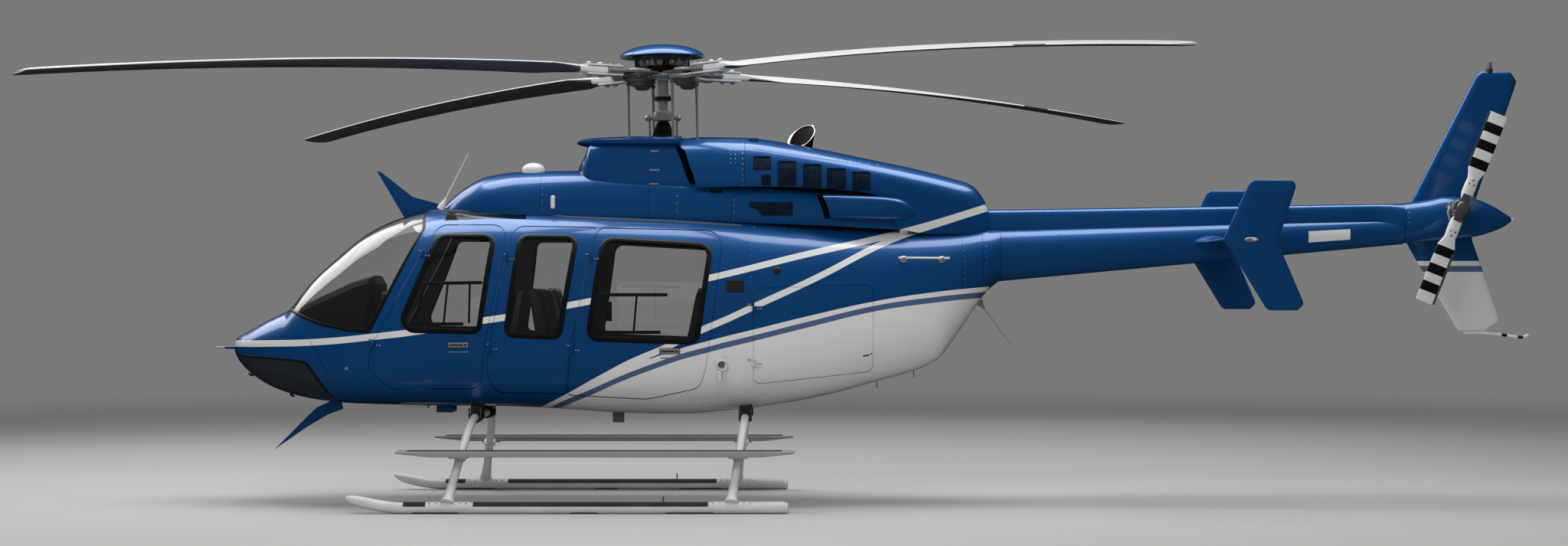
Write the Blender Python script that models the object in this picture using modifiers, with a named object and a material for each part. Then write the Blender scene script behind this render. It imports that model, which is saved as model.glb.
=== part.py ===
"""A light single-engine helicopter on skids, with its doors, cowlings, tail and two rotors.

Metres. +X runs aft, +Y to the helicopter's right, +Z up. The origin is on the ground, on the
centre plane, at the middle of the whole machine's length with the rotor as it is parked.
"""

import math

import bmesh
import bpy
from mathutils import Matrix, Vector

# Driving dimensions

SKIN = 0.025  # wall of the fuselage and the doors
GLASS_IN, GLASS_THICK = 0.005, 0.007  # how far a pane lies under the skin, and its own thickness
SEAT_GAP = 0.0003  # what touching pieces keep between them
LOFT_GAP = 0.0006  # the same, where both faces are drawn through curved sections
DOOR_GAP = 0.008  # open line around a door
LOWEST_SEAT = 0.905  # top of the cabin floor

MAST_X, HUB_Z = -1.466, 3.445  # where the rotor axis meets the plane of the yoke
MAST_TILT = math.radians(-1.0)  # the axis leans forward
MAST_RADIUS, MAST_FOOT = 0.050, 0.742  # its foot lies this far under the yoke
ENGINE_TOP = 2.640
ROTOR_RADIUS, BLADE_CHORD = 5.457, 0.273
BLADE_ONE = math.radians(180 + 41)  # azimuth of the parked forward left blade
BLADE_DROOP = 0.0107  # sag of a parked blade, in metres per square metre of radius

TAIL_HUB = Vector((4.882, -0.36, 2.347))
TAIL_RADIUS, TAIL_CHORD = 0.80, 0.148
TAIL_ANGLE = math.radians(21.7)  # the parked upper blade leans aft

BOOM_FRONT, BOOM_REAR = 1.2433, 4.50
SKID_Y, SKID_TUBE = 1.2275, 0.0435
SKID_REAR, SKID_BEND, SKID_TIP = -0.491, -3.40, -3.808
CROSS_TUBE = 0.0325
STEP_INNER, STEP_OUTER = 1.0, 1.2

# Body sections: station, low, high, half width, height of the widest point, exponents below and above

FUSELAGE = [
    # x      low    high   width  wide   below above
    (-4.911, 1.225, 1.285, 0.030, 1.255, 2.0, 2.0),
    (-4.890, 1.165, 1.310, 0.100, 1.245, 2.0, 2.0),
    (-4.780, 1.035, 1.375, 0.255, 1.235, 2.1, 2.0),
    (-4.620, 0.930, 1.462, 0.400, 1.225, 2.2, 2.1),
    (-4.440, 0.862, 1.548, 0.500, 1.220, 2.4, 2.2),
    (-4.280, 0.825, 1.765, 0.565, 1.220, 2.6, 2.1),
    (-4.060, 0.798, 1.972, 0.625, 1.225, 2.8, 2.1),
    (-3.840, 0.788, 2.148, 0.665, 1.240, 3.0, 2.2),
    (-3.600, 0.782, 2.265, 0.695, 1.260, 3.2, 2.4),
    (-3.400, 0.778, 2.322, 0.712, 1.280, 3.4, 2.6),
    (-3.200, 0.775, 2.345, 0.724, 1.300, 3.4, 2.8),
    (-2.800, 0.772, 2.350, 0.735, 1.320, 3.4, 3.0),
    (-2.300, 0.752, 2.342, 0.738, 1.330, 3.2, 3.0),
    (-1.800, 0.718, 2.330, 0.738, 1.340, 3.0, 3.0),
    (-1.300, 0.706, 2.312, 0.735, 1.350, 2.8, 3.0),
    (-0.900, 0.738, 2.285, 0.720, 1.380, 2.6, 2.9),
    (-0.500, 0.788, 2.250, 0.690, 1.420, 2.5, 2.8),
    (-0.100, 0.866, 2.215, 0.635, 1.500, 2.4, 2.7),
    (0.260, 0.966, 2.195, 0.560, 1.580, 2.3, 2.6),
    (0.550, 1.048, 2.190, 0.490, 1.660, 2.2, 2.5),
    (0.750, 1.140, 2.190, 0.435, 1.720, 2.2, 2.4),
    (0.860, 1.275, 2.192, 0.395, 1.780, 2.1, 2.3),
    (1.000, 1.480, 2.195, 0.335, 1.860, 2.0, 2.2),
    (1.150, 1.690, 2.200, 0.270, 1.950, 2.0, 2.1),
    (1.243, 1.768, 2.206, 0.220, 1.987, 2.0, 2.0),
]

ROOF_FAIRING = [
    (-3.225, 2.200, 2.372, 0.100, 2.250, 2.0, 2.0),
    (-3.150, 2.200, 2.440, 0.215, 2.260, 2.0, 2.1),
    (-3.050, 2.200, 2.520, 0.290, 2.270, 2.0, 2.3),
    (-2.870, 2.200, 2.610, 0.355, 2.280, 2.0, 2.5),
    (-2.600, 2.200, 2.648, 0.395, 2.290, 2.0, 2.8),
    (-2.200, 2.190, 2.655, 0.410, 2.290, 2.0, 3.2),
    (-1.300, 2.150, 2.600, 0.415, 2.280, 2.0, 3.6),
    (-0.300, 2.080, 2.520, 0.405, 2.260, 2.0, 3.6),
    (0.300, 2.050, 2.460, 0.360, 2.240, 2.0, 3.2),
    (0.700, 2.050, 2.400, 0.290, 2.220, 2.0, 2.8),
]

ENGINE_COWLING = [
    (-1.270, 2.440, 2.922, 0.455, 2.560, 3.0, 3.2),
    (-1.150, 2.440, 2.925, 0.460, 2.560, 3.0, 3.2),
    (-0.800, 2.450, 2.920, 0.462, 2.560, 3.0, 3.0),
    (-0.450, 2.450, 2.875, 0.455, 2.555, 3.0, 2.9),
    (-0.050, 2.430, 2.800, 0.430, 2.540, 3.0, 2.8),
    (0.250, 2.400, 2.738, 0.395, 2.520, 3.0, 2.7),
    (0.550, 2.330, 2.675, 0.340, 2.470, 3.0, 2.6),
    (0.850, 2.230, 2.600, 0.265, 2.400, 3.0, 2.5),
    (1.020, 2.160, 2.545, 0.210, 2.350, 3.0, 2.4),
    (1.110, 2.100, 2.450, 0.165, 2.290, 3.0, 2.3),
    (1.158, 2.080, 2.352, 0.130, 2.240, 3.0, 2.2),
]

MAST_FAIRING = [
    (-2.130, 2.560, 2.680, 0.180, 2.600, 3.0, 3.0),
    (-2.080, 2.560, 2.780, 0.300, 2.600, 3.0, 3.0),
    (-2.020, 2.560, 2.888, 0.350, 2.620, 3.0, 4.0),
    (-1.700, 2.560, 2.892, 0.375, 2.640, 3.0, 6.0),
    (-1.271, 2.560, 2.892, 0.380, 2.640, 3.0, 6.0),
]

# The scoops on the roof fairing; their sections are centred at SCOOP_Y
SCOOP_Y = 0.300
SCOOP = [
    (-0.235, 2.255, 2.458, 0.160, 2.360, 5.0, 5.0),
    (0.100, 2.255, 2.448, 0.166, 2.350, 5.0, 5.0),
    (0.380, 2.255, 2.432, 0.135, 2.345, 4.0, 4.0),
    (0.490, 2.257, 2.400, 0.090, 2.325, 3.0, 3.0),
    (0.565, 2.275, 2.330, 0.030, 2.300, 2.0, 2.0),
]

# The screened openings of the engine cowling: front, rear, low, high
OPENINGS = [
    (-0.727, -0.588, 2.639, 2.754),
    (-0.663, -0.590, 2.518, 2.605),
    (-0.533, -0.388, 2.514, 2.717),
    (-0.334, -0.189, 2.494, 2.693),
    (-0.147, 0.004, 2.494, 2.660),
    (0.056, 0.198, 2.482, 2.633),
]

TAIL_CONE = [
    (4.5003, 2.075, 2.395, 0.118, 2.215, 2.0, 2.0),
    (4.680, 2.088, 2.420, 0.128, 2.240, 2.1, 2.1),
    (4.850, 2.102, 2.452, 0.132, 2.270, 2.1, 2.1),
    (5.080, 2.128, 2.432, 0.125, 2.275, 2.0, 2.0),
    (5.200, 2.160, 2.388, 0.098, 2.270, 2.0, 2.0),
    (5.310, 2.205, 2.325, 0.055, 2.266, 2.0, 2.0),
    (5.375, 2.250, 2.282, 0.014, 2.266, 2.0, 2.0),
]

# Outlines in side view: x, z and corner radius, clockwise from the top at the front

CREW_DOOR = [
    (-3.190, 2.205, 0.10),
    (-2.655, 2.205, 0.10),
    (-2.715, 1.800, 0.60),
    (-2.815, 1.280, 0.60),
    (-2.850, 0.930, 0.10),
    (-3.560, 0.930, 0.10),
    (-3.735, 1.080, 0.12),
    (-3.690, 1.270, 0.20),
]
CREW_WINDOW = [(-3.190, 2.125, 0.08), (-2.752, 2.125, 0.07), (-2.860, 1.372, 0.06), (-3.490, 1.385, 0.09)]
LITTER_DOOR = [
    (-2.600, 2.195, 0.10),
    (-1.955, 2.185, 0.03),
    (-2.020, 1.900, 0.60),
    (-2.155, 1.220, 0.60),
    (-2.190, 0.890, 0.02),
    (-2.740, 0.900, 0.10),
    (-2.800, 1.100, 0.20),
    (-2.700, 1.660, 1.00),
]
LITTER_WINDOW = [(-2.545, 2.120, 0.07), (-2.105, 2.115, 0.07), (-2.235, 1.330, 0.06), (-2.650, 1.345, 0.06)]
PASSENGER_DOOR = [
    (-1.938, 2.180, 0.06),
    (-0.965, 2.160, 0.13),
    (-1.000, 1.800, 0.60),
    (-1.100, 1.080, 0.30),
    (-1.150, 0.935, 0.10),
    (-1.560, 0.845, 0.40),
    (-2.172, 0.880, 0.02),
    (-2.137, 1.220, 0.60),
    (-2.002, 1.900, 0.60),
]
PASSENGER_WINDOW = [(-1.895, 2.100, 0.09), (-1.055, 2.050, 0.09), (-1.165, 1.290, 0.07), (-2.010, 1.318, 0.07)]
BAGGAGE_DOOR = [(-0.720, 1.705, 0.05), (0.210, 1.735, 0.05), (0.210, 1.060, 0.05), (-0.720, 0.965, 0.05)]
WINDSHIELD = [
    (-4.442, 1.560, 0.01),
    (-4.150, 1.440, 0.30),
    (-3.900, 1.385, 0.30),
    (-3.720, 1.372, 0.03),
    (-3.318, 2.185, 0.06),
    (-3.380, 2.480, 0.01),
    (-4.700, 2.480, 0.01),
    (-4.560, 1.700, 0.01),
]
CHIN_WINDOW = [
    (-4.850, 1.180, 0.02),
    (-4.215, 1.138, 0.08),
    (-4.040, 0.850, 0.02),
    (-4.060, 0.700, 0.01),
    (-4.700, 0.700, 0.01),
    (-4.860, 1.120, 0.02),
]
KEEL_HALF = 0.045  # half the strip between the chin windows
ROOF_WINDOW = ((-3.16, -0.46, 2.1), (-2.52, 0.46, 2.6))

# name: outline, window or None, side, heights of the two hinges, reach of the straps on the frame
DOORS = {
    "crew_door_left": (CREW_DOOR, CREW_WINDOW, -1, (1.27, 1.97), 0.050),
    "litter_door_left": (LITTER_DOOR, LITTER_WINDOW, -1, (1.24, 1.94), 0.024),
    "passenger_door_left": (PASSENGER_DOOR, PASSENGER_WINDOW, -1, (1.23, 1.94), 0.050),
    "crew_door_right": (CREW_DOOR, CREW_WINDOW, 1, (1.27, 1.97), 0.050),
    "passenger_door_right": (PASSENGER_DOOR, PASSENGER_WINDOW, 1, (1.23, 1.94), 0.050),
    "baggage_door_left": (BAGGAGE_DOOR, None, -1, (1.12, 1.55), 0.050),
}

# How the fuselage skin is split: name, outline in side view, side (0 is both)
NOSE_END, CABIN_END = -3.205, -0.955
SILL, EAVES = 1.000, 2.020
PANELS = {
    "nose_shell": ([(-6.0, -1), (-6.0, 4), (NOSE_END, 4), (NOSE_END, -1)], 0),
    "belly_tub": ([(NOSE_END, -1), (NOSE_END, SILL), (CABIN_END, SILL), (CABIN_END, -1)], 0),
    "cabin_roof": ([(NOSE_END, EAVES), (NOSE_END, 4), (CABIN_END, 4), (CABIN_END, EAVES)], 0),
    "door_post_left": ([(-3.0, SILL), (-3.0, EAVES), (-2.45, EAVES), (-2.45, SILL)], -1),
    "side_panel_right": ([(-3.0, SILL), (-3.0, EAVES), (-1.80, EAVES), (-1.80, SILL)], 1),
    "aft_fuselage": (
        [(-1.30, SILL), (-1.30, EAVES), (CABIN_END, EAVES), (CABIN_END, 4), (3, 4), (3, -1), (CABIN_END, -1),
         (CABIN_END, SILL)],
        0,
    ),
}

for old in list(bpy.data.objects):
    bpy.data.objects.remove(old)
PARTS = bpy.data.collections.new("helicopter")
CUTTERS = bpy.data.collections.new("cutters")
bpy.context.scene.collection.children.link(PARTS)
bpy.context.scene.collection.children.link(CUTTERS)


# Materials


def paint(name, colour, roughness, metallic=0.0):
    made = bpy.data.materials.new(name)
    made.use_nodes = True
    shader = made.node_tree.nodes["Principled BSDF"]
    shader.inputs["Base Color"].default_value = (*colour, 1)
    shader.inputs["Roughness"].default_value = roughness
    shader.inputs["Metallic"].default_value = metallic
    return made


BLUE = paint("blue_enamel", (0.012, 0.090, 0.290), 0.2)
WHITE = paint("white_enamel", (0.62, 0.63, 0.64), 0.3)
GLASS = paint("clear_acrylic", (0.30, 0.33, 0.35), 0.1)
BLACK = paint("black_rubber", (0.02, 0.02, 0.02), 0.7)
GREY = paint("grey_leather", (0.16, 0.16, 0.17), 0.6)
STEEL = paint("machined_steel", (0.38, 0.38, 0.37), 0.35, 1.0)
CAST = paint("cast_housing", (0.20, 0.20, 0.20), 0.5, 0.8)


# Shape helpers


def link(name, mesh, material=None, cutter=False):
    made = bpy.data.objects.new(name, mesh)
    (CUTTERS if cutter else PARTS).objects.link(made)
    if cutter:
        made.hide_render = True
        made.display_type = "WIRE"
    if material:
        made.data.materials.append(material)
    return made


def mesh_of(name, points, faces):
    mesh = bpy.data.meshes.new(name)
    mesh.from_pydata([tuple(p) for p in points], [], faces)
    bm = bmesh.new()
    bm.from_mesh(mesh)
    bmesh.ops.recalc_face_normals(bm, faces=bm.faces)
    bm.to_mesh(mesh)
    bm.free()
    return mesh


def loft(name, rings):
    """A closed solid through rings of equally many points, with flat ends."""
    count = len(rings[0])
    points = [p for ring in rings for p in ring]
    faces = [tuple(range(count))[::-1], tuple(range(len(points) - count, len(points)))]
    for r in range(len(rings) - 1):
        for k in range(count):
            a, b = r * count + k, r * count + (k + 1) % count
            faces.append((a, b, b + count, a + count))
    return mesh_of(name, points, faces)


def section_at(table, x):
    """The row of a section table at any station, straight between its rows."""
    for low, high in zip(table, table[1:]):
        if x <= high[0]:
            share = (x - low[0]) / (high[0] - low[0])
            return [a + (b - a) * share for a, b in zip(low, high)]
    return list(table[-1])


def ring(row, inset=0.0, around=28, drop=0.0):
    """One closed section: a superellipse with its own exponent above and below the widest point."""
    x, low, high, width, wide, below, above = row
    low, high, width = low + inset - drop, high - inset, width - inset
    points = []
    for k in range(around):
        turn = 2 * math.pi * (k + 0.5) / around
        c, s = math.cos(turn), math.sin(turn)
        power, reach = (above, high - wide) if s > 0 else (below, wide - low)
        y = math.copysign(abs(c) ** (2 / power), c) * width
        z = math.copysign(abs(s) ** (2 / power), s) * reach
        points.append((x, y, wide + z))
    return points


def side_of(x, z, table=FUSELAGE):
    """Half the width of a body at a station and a height."""
    _, low, high, width, wide, below, above = section_at(table, x)
    power, reach = (above, high - wide) if z > wide else (below, wide - low)
    return width * max(0.0, 1 - abs((z - wide) / reach) ** power) ** (1 / power)


def arcs(corners, steps=4):
    """A closed outline whose corners (x, z, radius) are rounded."""
    points = []
    for k, corner in enumerate(corners):
        here = Vector(corner[:2])
        back = (Vector(corners[k - 1][:2]) - here).normalized()
        ahead = (Vector(corners[(k + 1) % len(corners)][:2]) - here).normalized()
        half = back.angle(ahead) / 2
        reach = corner[2] / math.tan(half)
        if reach < 0.004 or math.degrees(half) > 86:
            points.append(tuple(here))
            continue
        centre = here + (back + ahead).normalized() * (corner[2] / math.sin(half))
        start = here + back * reach - centre
        sweep = start.angle_signed(here + ahead * reach - centre)
        for s in range(steps + 1):
            points.append(tuple(centre + Matrix.Rotation(-sweep * s / steps, 2) @ start))
    return points


def grown(outline, by):
    """The outline moved out along its own normals."""
    turning = sum(a[0] * b[1] - b[0] * a[1] for a, b in zip(outline, outline[1:] + outline[:1]))
    sense = 1 if turning < 0 else -1
    moved = []
    for k, point in enumerate(outline):
        along = Vector(outline[(k + 1) % len(outline)]) - Vector(outline[k - 1])
        normal = Vector((-along.y, along.x)).normalized() * sense
        moved.append(tuple(Vector(point) + normal * by))
    return moved


def prism(name, outline, near, far, material=None, cutter=False):
    """A side-view outline made solid between two widths."""
    rings = [[(x, y, z) for x, z in outline] for y in (near, far)]
    return link(name, loft(name, rings), material, cutter)


def box(name, low, high, material=None, cutter=False):
    mesh = bpy.data.meshes.new(name)
    bm = bmesh.new()
    bmesh.ops.create_cube(bm, size=1)
    size = Vector(high) - Vector(low)
    bmesh.ops.scale(bm, vec=size, verts=bm.verts)
    bmesh.ops.translate(bm, vec=Vector(low) + size / 2, verts=bm.verts)
    bm.to_mesh(mesh)
    bm.free()
    return link(name, mesh, material, cutter)


def rod(name, start, end, radius, material=None, cutter=False, sides=12, radius_end=None):
    """A round bar or cone from one point to another."""
    start, end = Vector(start), Vector(end)
    mesh = bpy.data.meshes.new(name)
    bm = bmesh.new()
    bmesh.ops.create_cone(
        bm,
        cap_ends=True,
        segments=sides,
        radius1=radius,
        radius2=radius if radius_end is None else radius_end,
        depth=(end - start).length,
    )
    turn = (end - start).to_track_quat("Z", "Y").to_matrix().to_4x4()
    bm.transform(Matrix.Translation((start + end) / 2) @ turn)
    bm.to_mesh(mesh)
    bm.free()
    return link(name, mesh, material, cutter)


def turned(name, profile, material, sides=24, cutter=False):
    """A profile of (radius, height), top to bottom, turned about the object's own Z."""
    mesh = bpy.data.meshes.new(name)
    mesh.from_pydata([(r, 0, z) for r, z in profile], [(k, k + 1) for k in range(len(profile) - 1)], [])
    made = link(name, mesh, material, cutter)
    screw = made.modifiers.new("turned", "SCREW")
    screw.steps = screw.render_steps = sides
    screw.use_merge_vertices = True
    screw.merge_threshold = 0.0001
    return made


def tube(name, points, radius, material=None, sides=2):
    """A bent tube with filled ends, made a mesh."""
    curve = bpy.data.curves.new(name, "CURVE")
    curve.dimensions = "3D"
    curve.bevel_depth = radius
    curve.bevel_resolution = sides
    curve.use_fill_caps = True
    spline = curve.splines.new("POLY")
    spline.points.add(len(points) - 1)
    for point, place in zip(spline.points, points):
        point.co = (*place, 1)
    return meshed(link(name, curve, material))


def meshed(obj, weld=True):
    """The object again as a plain mesh, with its modifiers applied and a curve's caps welded."""
    bpy.context.view_layer.update()
    graph = bpy.context.evaluated_depsgraph_get()
    mesh = bpy.data.meshes.new_from_object(obj.evaluated_get(graph))
    if weld:
        bm = bmesh.new()
        bm.from_mesh(mesh)
        bmesh.ops.remove_doubles(bm, verts=bm.verts, dist=0.00005)
        # a boolean can leave out a sliver face: that three-sided hole is filled again
        slits = [edge for edge in bm.edges if len(edge.link_faces) == 1]
        bmesh.ops.holes_fill(bm, edges=slits, sides=3)
        bmesh.ops.recalc_face_normals(bm, faces=bm.faces)
        bm.to_mesh(mesh)
        bm.free()
    name, place, cutter = obj.name, obj.matrix_world.copy(), obj.hide_render
    bpy.data.objects.remove(obj)
    made = link(name, mesh, None, cutter)
    made.matrix_world = place
    return made


def boolean(obj, other, operation):
    step = obj.modifiers.new(operation.lower(), "BOOLEAN")
    step.operation = operation
    step.object = other
    step.solver = "EXACT"
    other.hide_render = True
    other.display_type = "WIRE"
    return obj


def cut(obj, *others):
    for other in others:
        boolean(obj, other, "DIFFERENCE")
    return obj


def joined(obj, *others):
    for other in others:
        boolean(obj, other, "UNION")
        if other.name in PARTS.objects:
            PARTS.objects.unlink(other)
            CUTTERS.objects.link(other)
    return obj


def kept(obj, other):
    return boolean(obj, other, "INTERSECT")


def body(name, table, inset=0.0, around=28, drop=0.0, cutter=True):
    rings = [ring(row, inset, around, drop) for row in table]
    return link(name, loft(name, rings), None, cutter)


# Fuselage skin, doors and windows


def fuselage_shell():
    outer = body("outer_form", FUSELAGE)
    inner_rows = [list(row) for row in FUSELAGE[1:-1]]
    inner_rows[0][0] += 0.02
    inner_rows.append(list(FUSELAGE[-1]))
    inner_rows[-1][0] += 0.05
    inner = link("inner_form", loft("inner_form", [ring(r, SKIN) for r in inner_rows]), None, True)
    return meshed(cut(outer, inner), weld=False), inner_rows


def glazing():
    """A thin skin just under the outer form, which every pane is cut from."""
    rows = [row for row in FUSELAGE if -4.9 < row[0] < -0.2]
    outer = link("pane_outer", loft("pane_outer", [ring(r, GLASS_IN) for r in rows]), None, True)
    inner_rows = [list(r) for r in rows]
    inner_rows[0][0] -= 0.01
    inner_rows[-1][0] += 0.05
    inner = link("pane_inner", loft("pane_inner", [ring(r, GLASS_IN + GLASS_THICK) for r in inner_rows]), None, True)
    return meshed(cut(outer, inner), weld=False)


SHELL, INNER_ROWS = fuselage_shell()
PANES = glazing()


def skin_panel(name, region, material=BLUE):
    """The part of the skin that lies within a region."""
    made = link(name, SHELL.data.copy(), material)
    return kept(made, region)


def side_prism(name, outline, side):
    return prism(name, outline, side * 0.22, side * 1.2, cutter=True)


def hinge_axis(outline, side, heights):
    """Two points of a door's hinge line, outside the widest bulge of its front edge."""
    def edge(z):
        best = 9.0
        for a, b in zip(outline, outline[1:] + outline[:1]):
            if min(a[1], b[1]) <= z <= max(a[1], b[1]) and abs(a[1] - b[1]) > 1e-6:
                best = min(best, a[0] + (b[0] - a[0]) * (z - a[1]) / (b[1] - a[1]))
        return best - DOOR_GAP / 2

    low, high = heights
    ends = [Vector((edge(z), side_of(edge(z), z), z)) for z in heights]
    bulge = 0.0
    for k in range(21):
        z = low - 0.25 + (high - low + 0.40) * k / 20
        chord = ends[0].y + (ends[1].y - ends[0].y) * (z - low) / (high - low)
        bulge = max(bulge, side_of(edge(z), z) - chord)
    out = bulge + 0.014
    return [Vector((p.x, side * (p.y + out), p.z)) for p in ends]


AXES = {}
LEAF, PIN = 0.045, 0.008  # half length of a hinge and radius of its knuckle


def hinge_sets(name, side, axis, frame_reach):
    """The knuckles and straps of both hinges: those of the door, and those of what carries it."""
    low, high = axis
    along = (high - low).normalized()
    moving, fixed = [], []
    for tag, at in (("low", low), ("high", high)):
        for which, reach, sense, bag in (
            ("door", 0.060, 1, moving),
            ("frame", frame_reach, -1, fixed),
        ):
            starts = (-LEAF / 2, LEAF / 2) if which == "door" else (LEAF / 2 + SEAT_GAP, LEAF)
            knuckle = rod(f"{name}_{which}_knuckle_{tag}", at + along * starts[0], at + along * starts[1], PIN,
                          cutter=True, sides=10)
            bag.append(knuckle)
            middle = at + along * (starts[0] + starts[1]) / 2
            half = (starts[1] - starts[0]) / 2
            across = Vector((sense, 0, 0)) - along * (sense * along.x)
            root = middle + across.normalized() * reach
            root.y = side * (side_of(root.x, root.z) - 0.012)
            wide = along * (half - 0.0035)
            flat = Vector((0, side * 0.004, 0)) if abs(root.y - middle.y) < reach else Vector((sense * -0.004, 0, 0))
            tip = middle
            corners = [tip - wide - flat, tip + wide - flat, tip + wide + flat, tip - wide + flat]
            ends = [root - wide - flat, root + wide - flat, root + wide + flat, root - wide + flat]
            strap = link(f"{name}_{which}_strap_{tag}", loft("strap", [corners, ends]), None, True)
            bag.append(strap)
    return moving, fixed


def rounded(outline):
    return arcs(outline)


def make_doors():
    made, holes, fixed_parts = {}, {}, {}
    for name, (outline, window, side, heights, frame_reach) in DOORS.items():
        line = rounded(outline)
        leaf = skin_panel(name, side_prism(f"{name}_form", line, side))
        if window:
            opening = arcs(window)
            cut(leaf, side_prism(f"{name}_opening", opening, side))
            pane = link(name.replace("door", "window"), PANES.data.copy(), GLASS)
            kept(pane, side_prism(f"{name}_pane_form", grown(opening, -SEAT_GAP), side))
        axis = hinge_axis(line, side, heights)
        AXES[name] = axis
        moving, fixed = hinge_sets(name, side, axis, frame_reach)
        joined(leaf, *moving)
        fixed_parts[name] = fixed
        holes[name] = side_prism(f"{name}_gap", grown(line, DOOR_GAP), side)
        made[name] = leaf
    return made, holes, fixed_parts


def make_panels(holes):
    made = {}
    for name, (region, side) in PANELS.items():
        near, far = (-1.2, 1.2) if side == 0 else (side * 0.2, side * 1.2)
        shape = prism(f"{name}_region", grown(region, -SEAT_GAP), near, far, cutter=True)
        panel = skin_panel(name, shape)
        for door, hole in holes.items():
            if DOORS[door][2] == side or side == 0:
                if name != "aft_fuselage" or "crew" not in door:
                    cut(panel, hole)
        made[name] = panel
    return made


DOOR_LEAVES, DOOR_HOLES, HINGE_SEATS = make_doors()
SKIN_PANELS = make_panels(DOOR_HOLES)
joined(SKIN_PANELS["nose_shell"], *HINGE_SEATS["crew_door_left"], *HINGE_SEATS["crew_door_right"])
joined(SKIN_PANELS["door_post_left"], *HINGE_SEATS["litter_door_left"])
joined(DOOR_LEAVES["litter_door_left"], *HINGE_SEATS["passenger_door_left"])
joined(SKIN_PANELS["side_panel_right"], *HINGE_SEATS["passenger_door_right"])
joined(SKIN_PANELS["aft_fuselage"], *HINGE_SEATS["baggage_door_left"])


def make_windows():
    shield = arcs(WINDSHIELD)
    cut(SKIN_PANELS["nose_shell"], prism("windshield_opening", shield, -1, 1, cutter=True))
    pane = link("windshield", PANES.data.copy(), GLASS)
    kept(pane, prism("windshield_form", grown(shield, -SEAT_GAP), -1, 1, cutter=True))
    chin = arcs(CHIN_WINDOW)
    for side, name in ((-1, "chin_window_left"), (1, "chin_window_right")):
        cut(SKIN_PANELS["nose_shell"], prism(f"{name}_opening", chin, side * KEEL_HALF, side, cutter=True))
        pane = link(name, PANES.data.copy(), GLASS)
        near = side * (KEEL_HALF + SEAT_GAP)
        kept(pane, prism(f"{name}_form", grown(chin, -SEAT_GAP), near, side, cutter=True))
    low, high = ROOF_WINDOW
    cut(SKIN_PANELS["cabin_roof"], box("roof_opening", low, high, cutter=True))
    pane = link("roof_window", PANES.data.copy(), GLASS)
    gap = Vector((SEAT_GAP, SEAT_GAP, SEAT_GAP))
    kept(pane, box("roof_pane_form", Vector(low) + gap, Vector(high) - gap, cutter=True))
    opening = arcs(LITTER_WINDOW)
    hole = side_prism("side_window_opening", opening, 1)
    cut(SKIN_PANELS["side_panel_right"], hole)
    cut(SKIN_PANELS["cabin_roof"], hole)
    pane = link("side_window_right", PANES.data.copy(), GLASS)
    kept(pane, side_prism("side_window_form", grown(opening, -SEAT_GAP), 1))


make_windows()


FLOOR_OUTLINE = [
    (-4.10, LOWEST_SEAT - 0.02),
    (-4.10, LOWEST_SEAT),
    (-0.955, LOWEST_SEAT),
    (-0.955, 2.40),
    (-0.935, 2.40),
    (-0.935, 0.60),
    (-0.955, 0.60),
    (-0.955, LOWEST_SEAT - 0.02),
]


def cabin_inside():
    """The floor with the cabin's rear wall, and the wall behind the baggage bay, fitted to the inner form."""
    floor = link("cabin_floor", loft("cabin_floor", [ring(r, SKIN + LOFT_GAP) for r in INNER_ROWS]), GREY)
    kept(floor, prism("floor_form", FLOOR_OUTLINE, -1, 1, cutter=True))
    wall = link("baggage_rear_wall", loft("wall", [ring(r, SKIN / 2) for r in INNER_ROWS]), None, True)
    kept(wall, box("wall_form", (0.300, -1, 0.9), (0.320, 1, 2.3), cutter=True))
    joined(SKIN_PANELS["aft_fuselage"], wall)


cabin_inside()


# Cabin furniture


def make_seat(name, x, y, half, faces_aft=False, back=0.78):
    """A seat in side view: pan, squab and back, on its floor box."""
    sense = -1 if faces_aft else 1
    floor = LOWEST_SEAT + SEAT_GAP
    shape = [
        (-0.25, 0.0),
        (-0.25, 0.30),
        (-0.22, 0.36),
        (0.16, 0.33),
        (0.19, 0.36),
        (0.29, back),
        (0.35, back + 0.03),
        (0.40, back),
        (0.30, 0.30),
        (0.25, 0.0),
    ]
    outline = [(x + sense * a, floor + b) for a, b in shape]
    return prism(name, outline, y - half, y + half, GREY)


make_seat("pilot_seat", -3.02, 0.32, 0.235)
make_seat("copilot_seat", -3.02, -0.32, 0.235)
make_seat("club_seats", -2.12, 0.0, 0.54, faces_aft=True)
make_seat("rear_bench", -1.37, 0.0, 0.54)

PANEL_OUTLINE = [
    (-4.22, 0.95),
    (-4.28, 1.40),
    (-4.10, 1.56),
    (-3.90, 1.75),
    (-3.74, 1.80),
    (-3.71, 1.72),
    (-3.73, 1.32),
    (-3.62, 1.10),
    (-3.60, LOWEST_SEAT + SEAT_GAP),
    (-4.00, LOWEST_SEAT + SEAT_GAP),
]
prism("instrument_panel", PANEL_OUTLINE, -0.22, 0.22, BLACK)


# Cowlings, engine and transmission


def hollow(name, table, wall, material, drop, open_front=False, open_back=False):
    """A cowling: its outer form less an inner form that runs out below, and out of any open end."""
    outer = body(name, table, cutter=False)
    outer.data.materials.append(material)
    rows = [list(r) for r in table]
    rows[0][0] += -0.1 if open_front else wall
    rows[-1][0] += 0.1 if open_back else -wall
    inner = link(f"{name}_inside", loft("inside", [ring(r, wall, drop=drop) for r in rows]), None, True)
    return cut(outer, inner)


ROOF_FORM = body("roof_form", FUSELAGE, inset=-LOFT_GAP)


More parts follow.
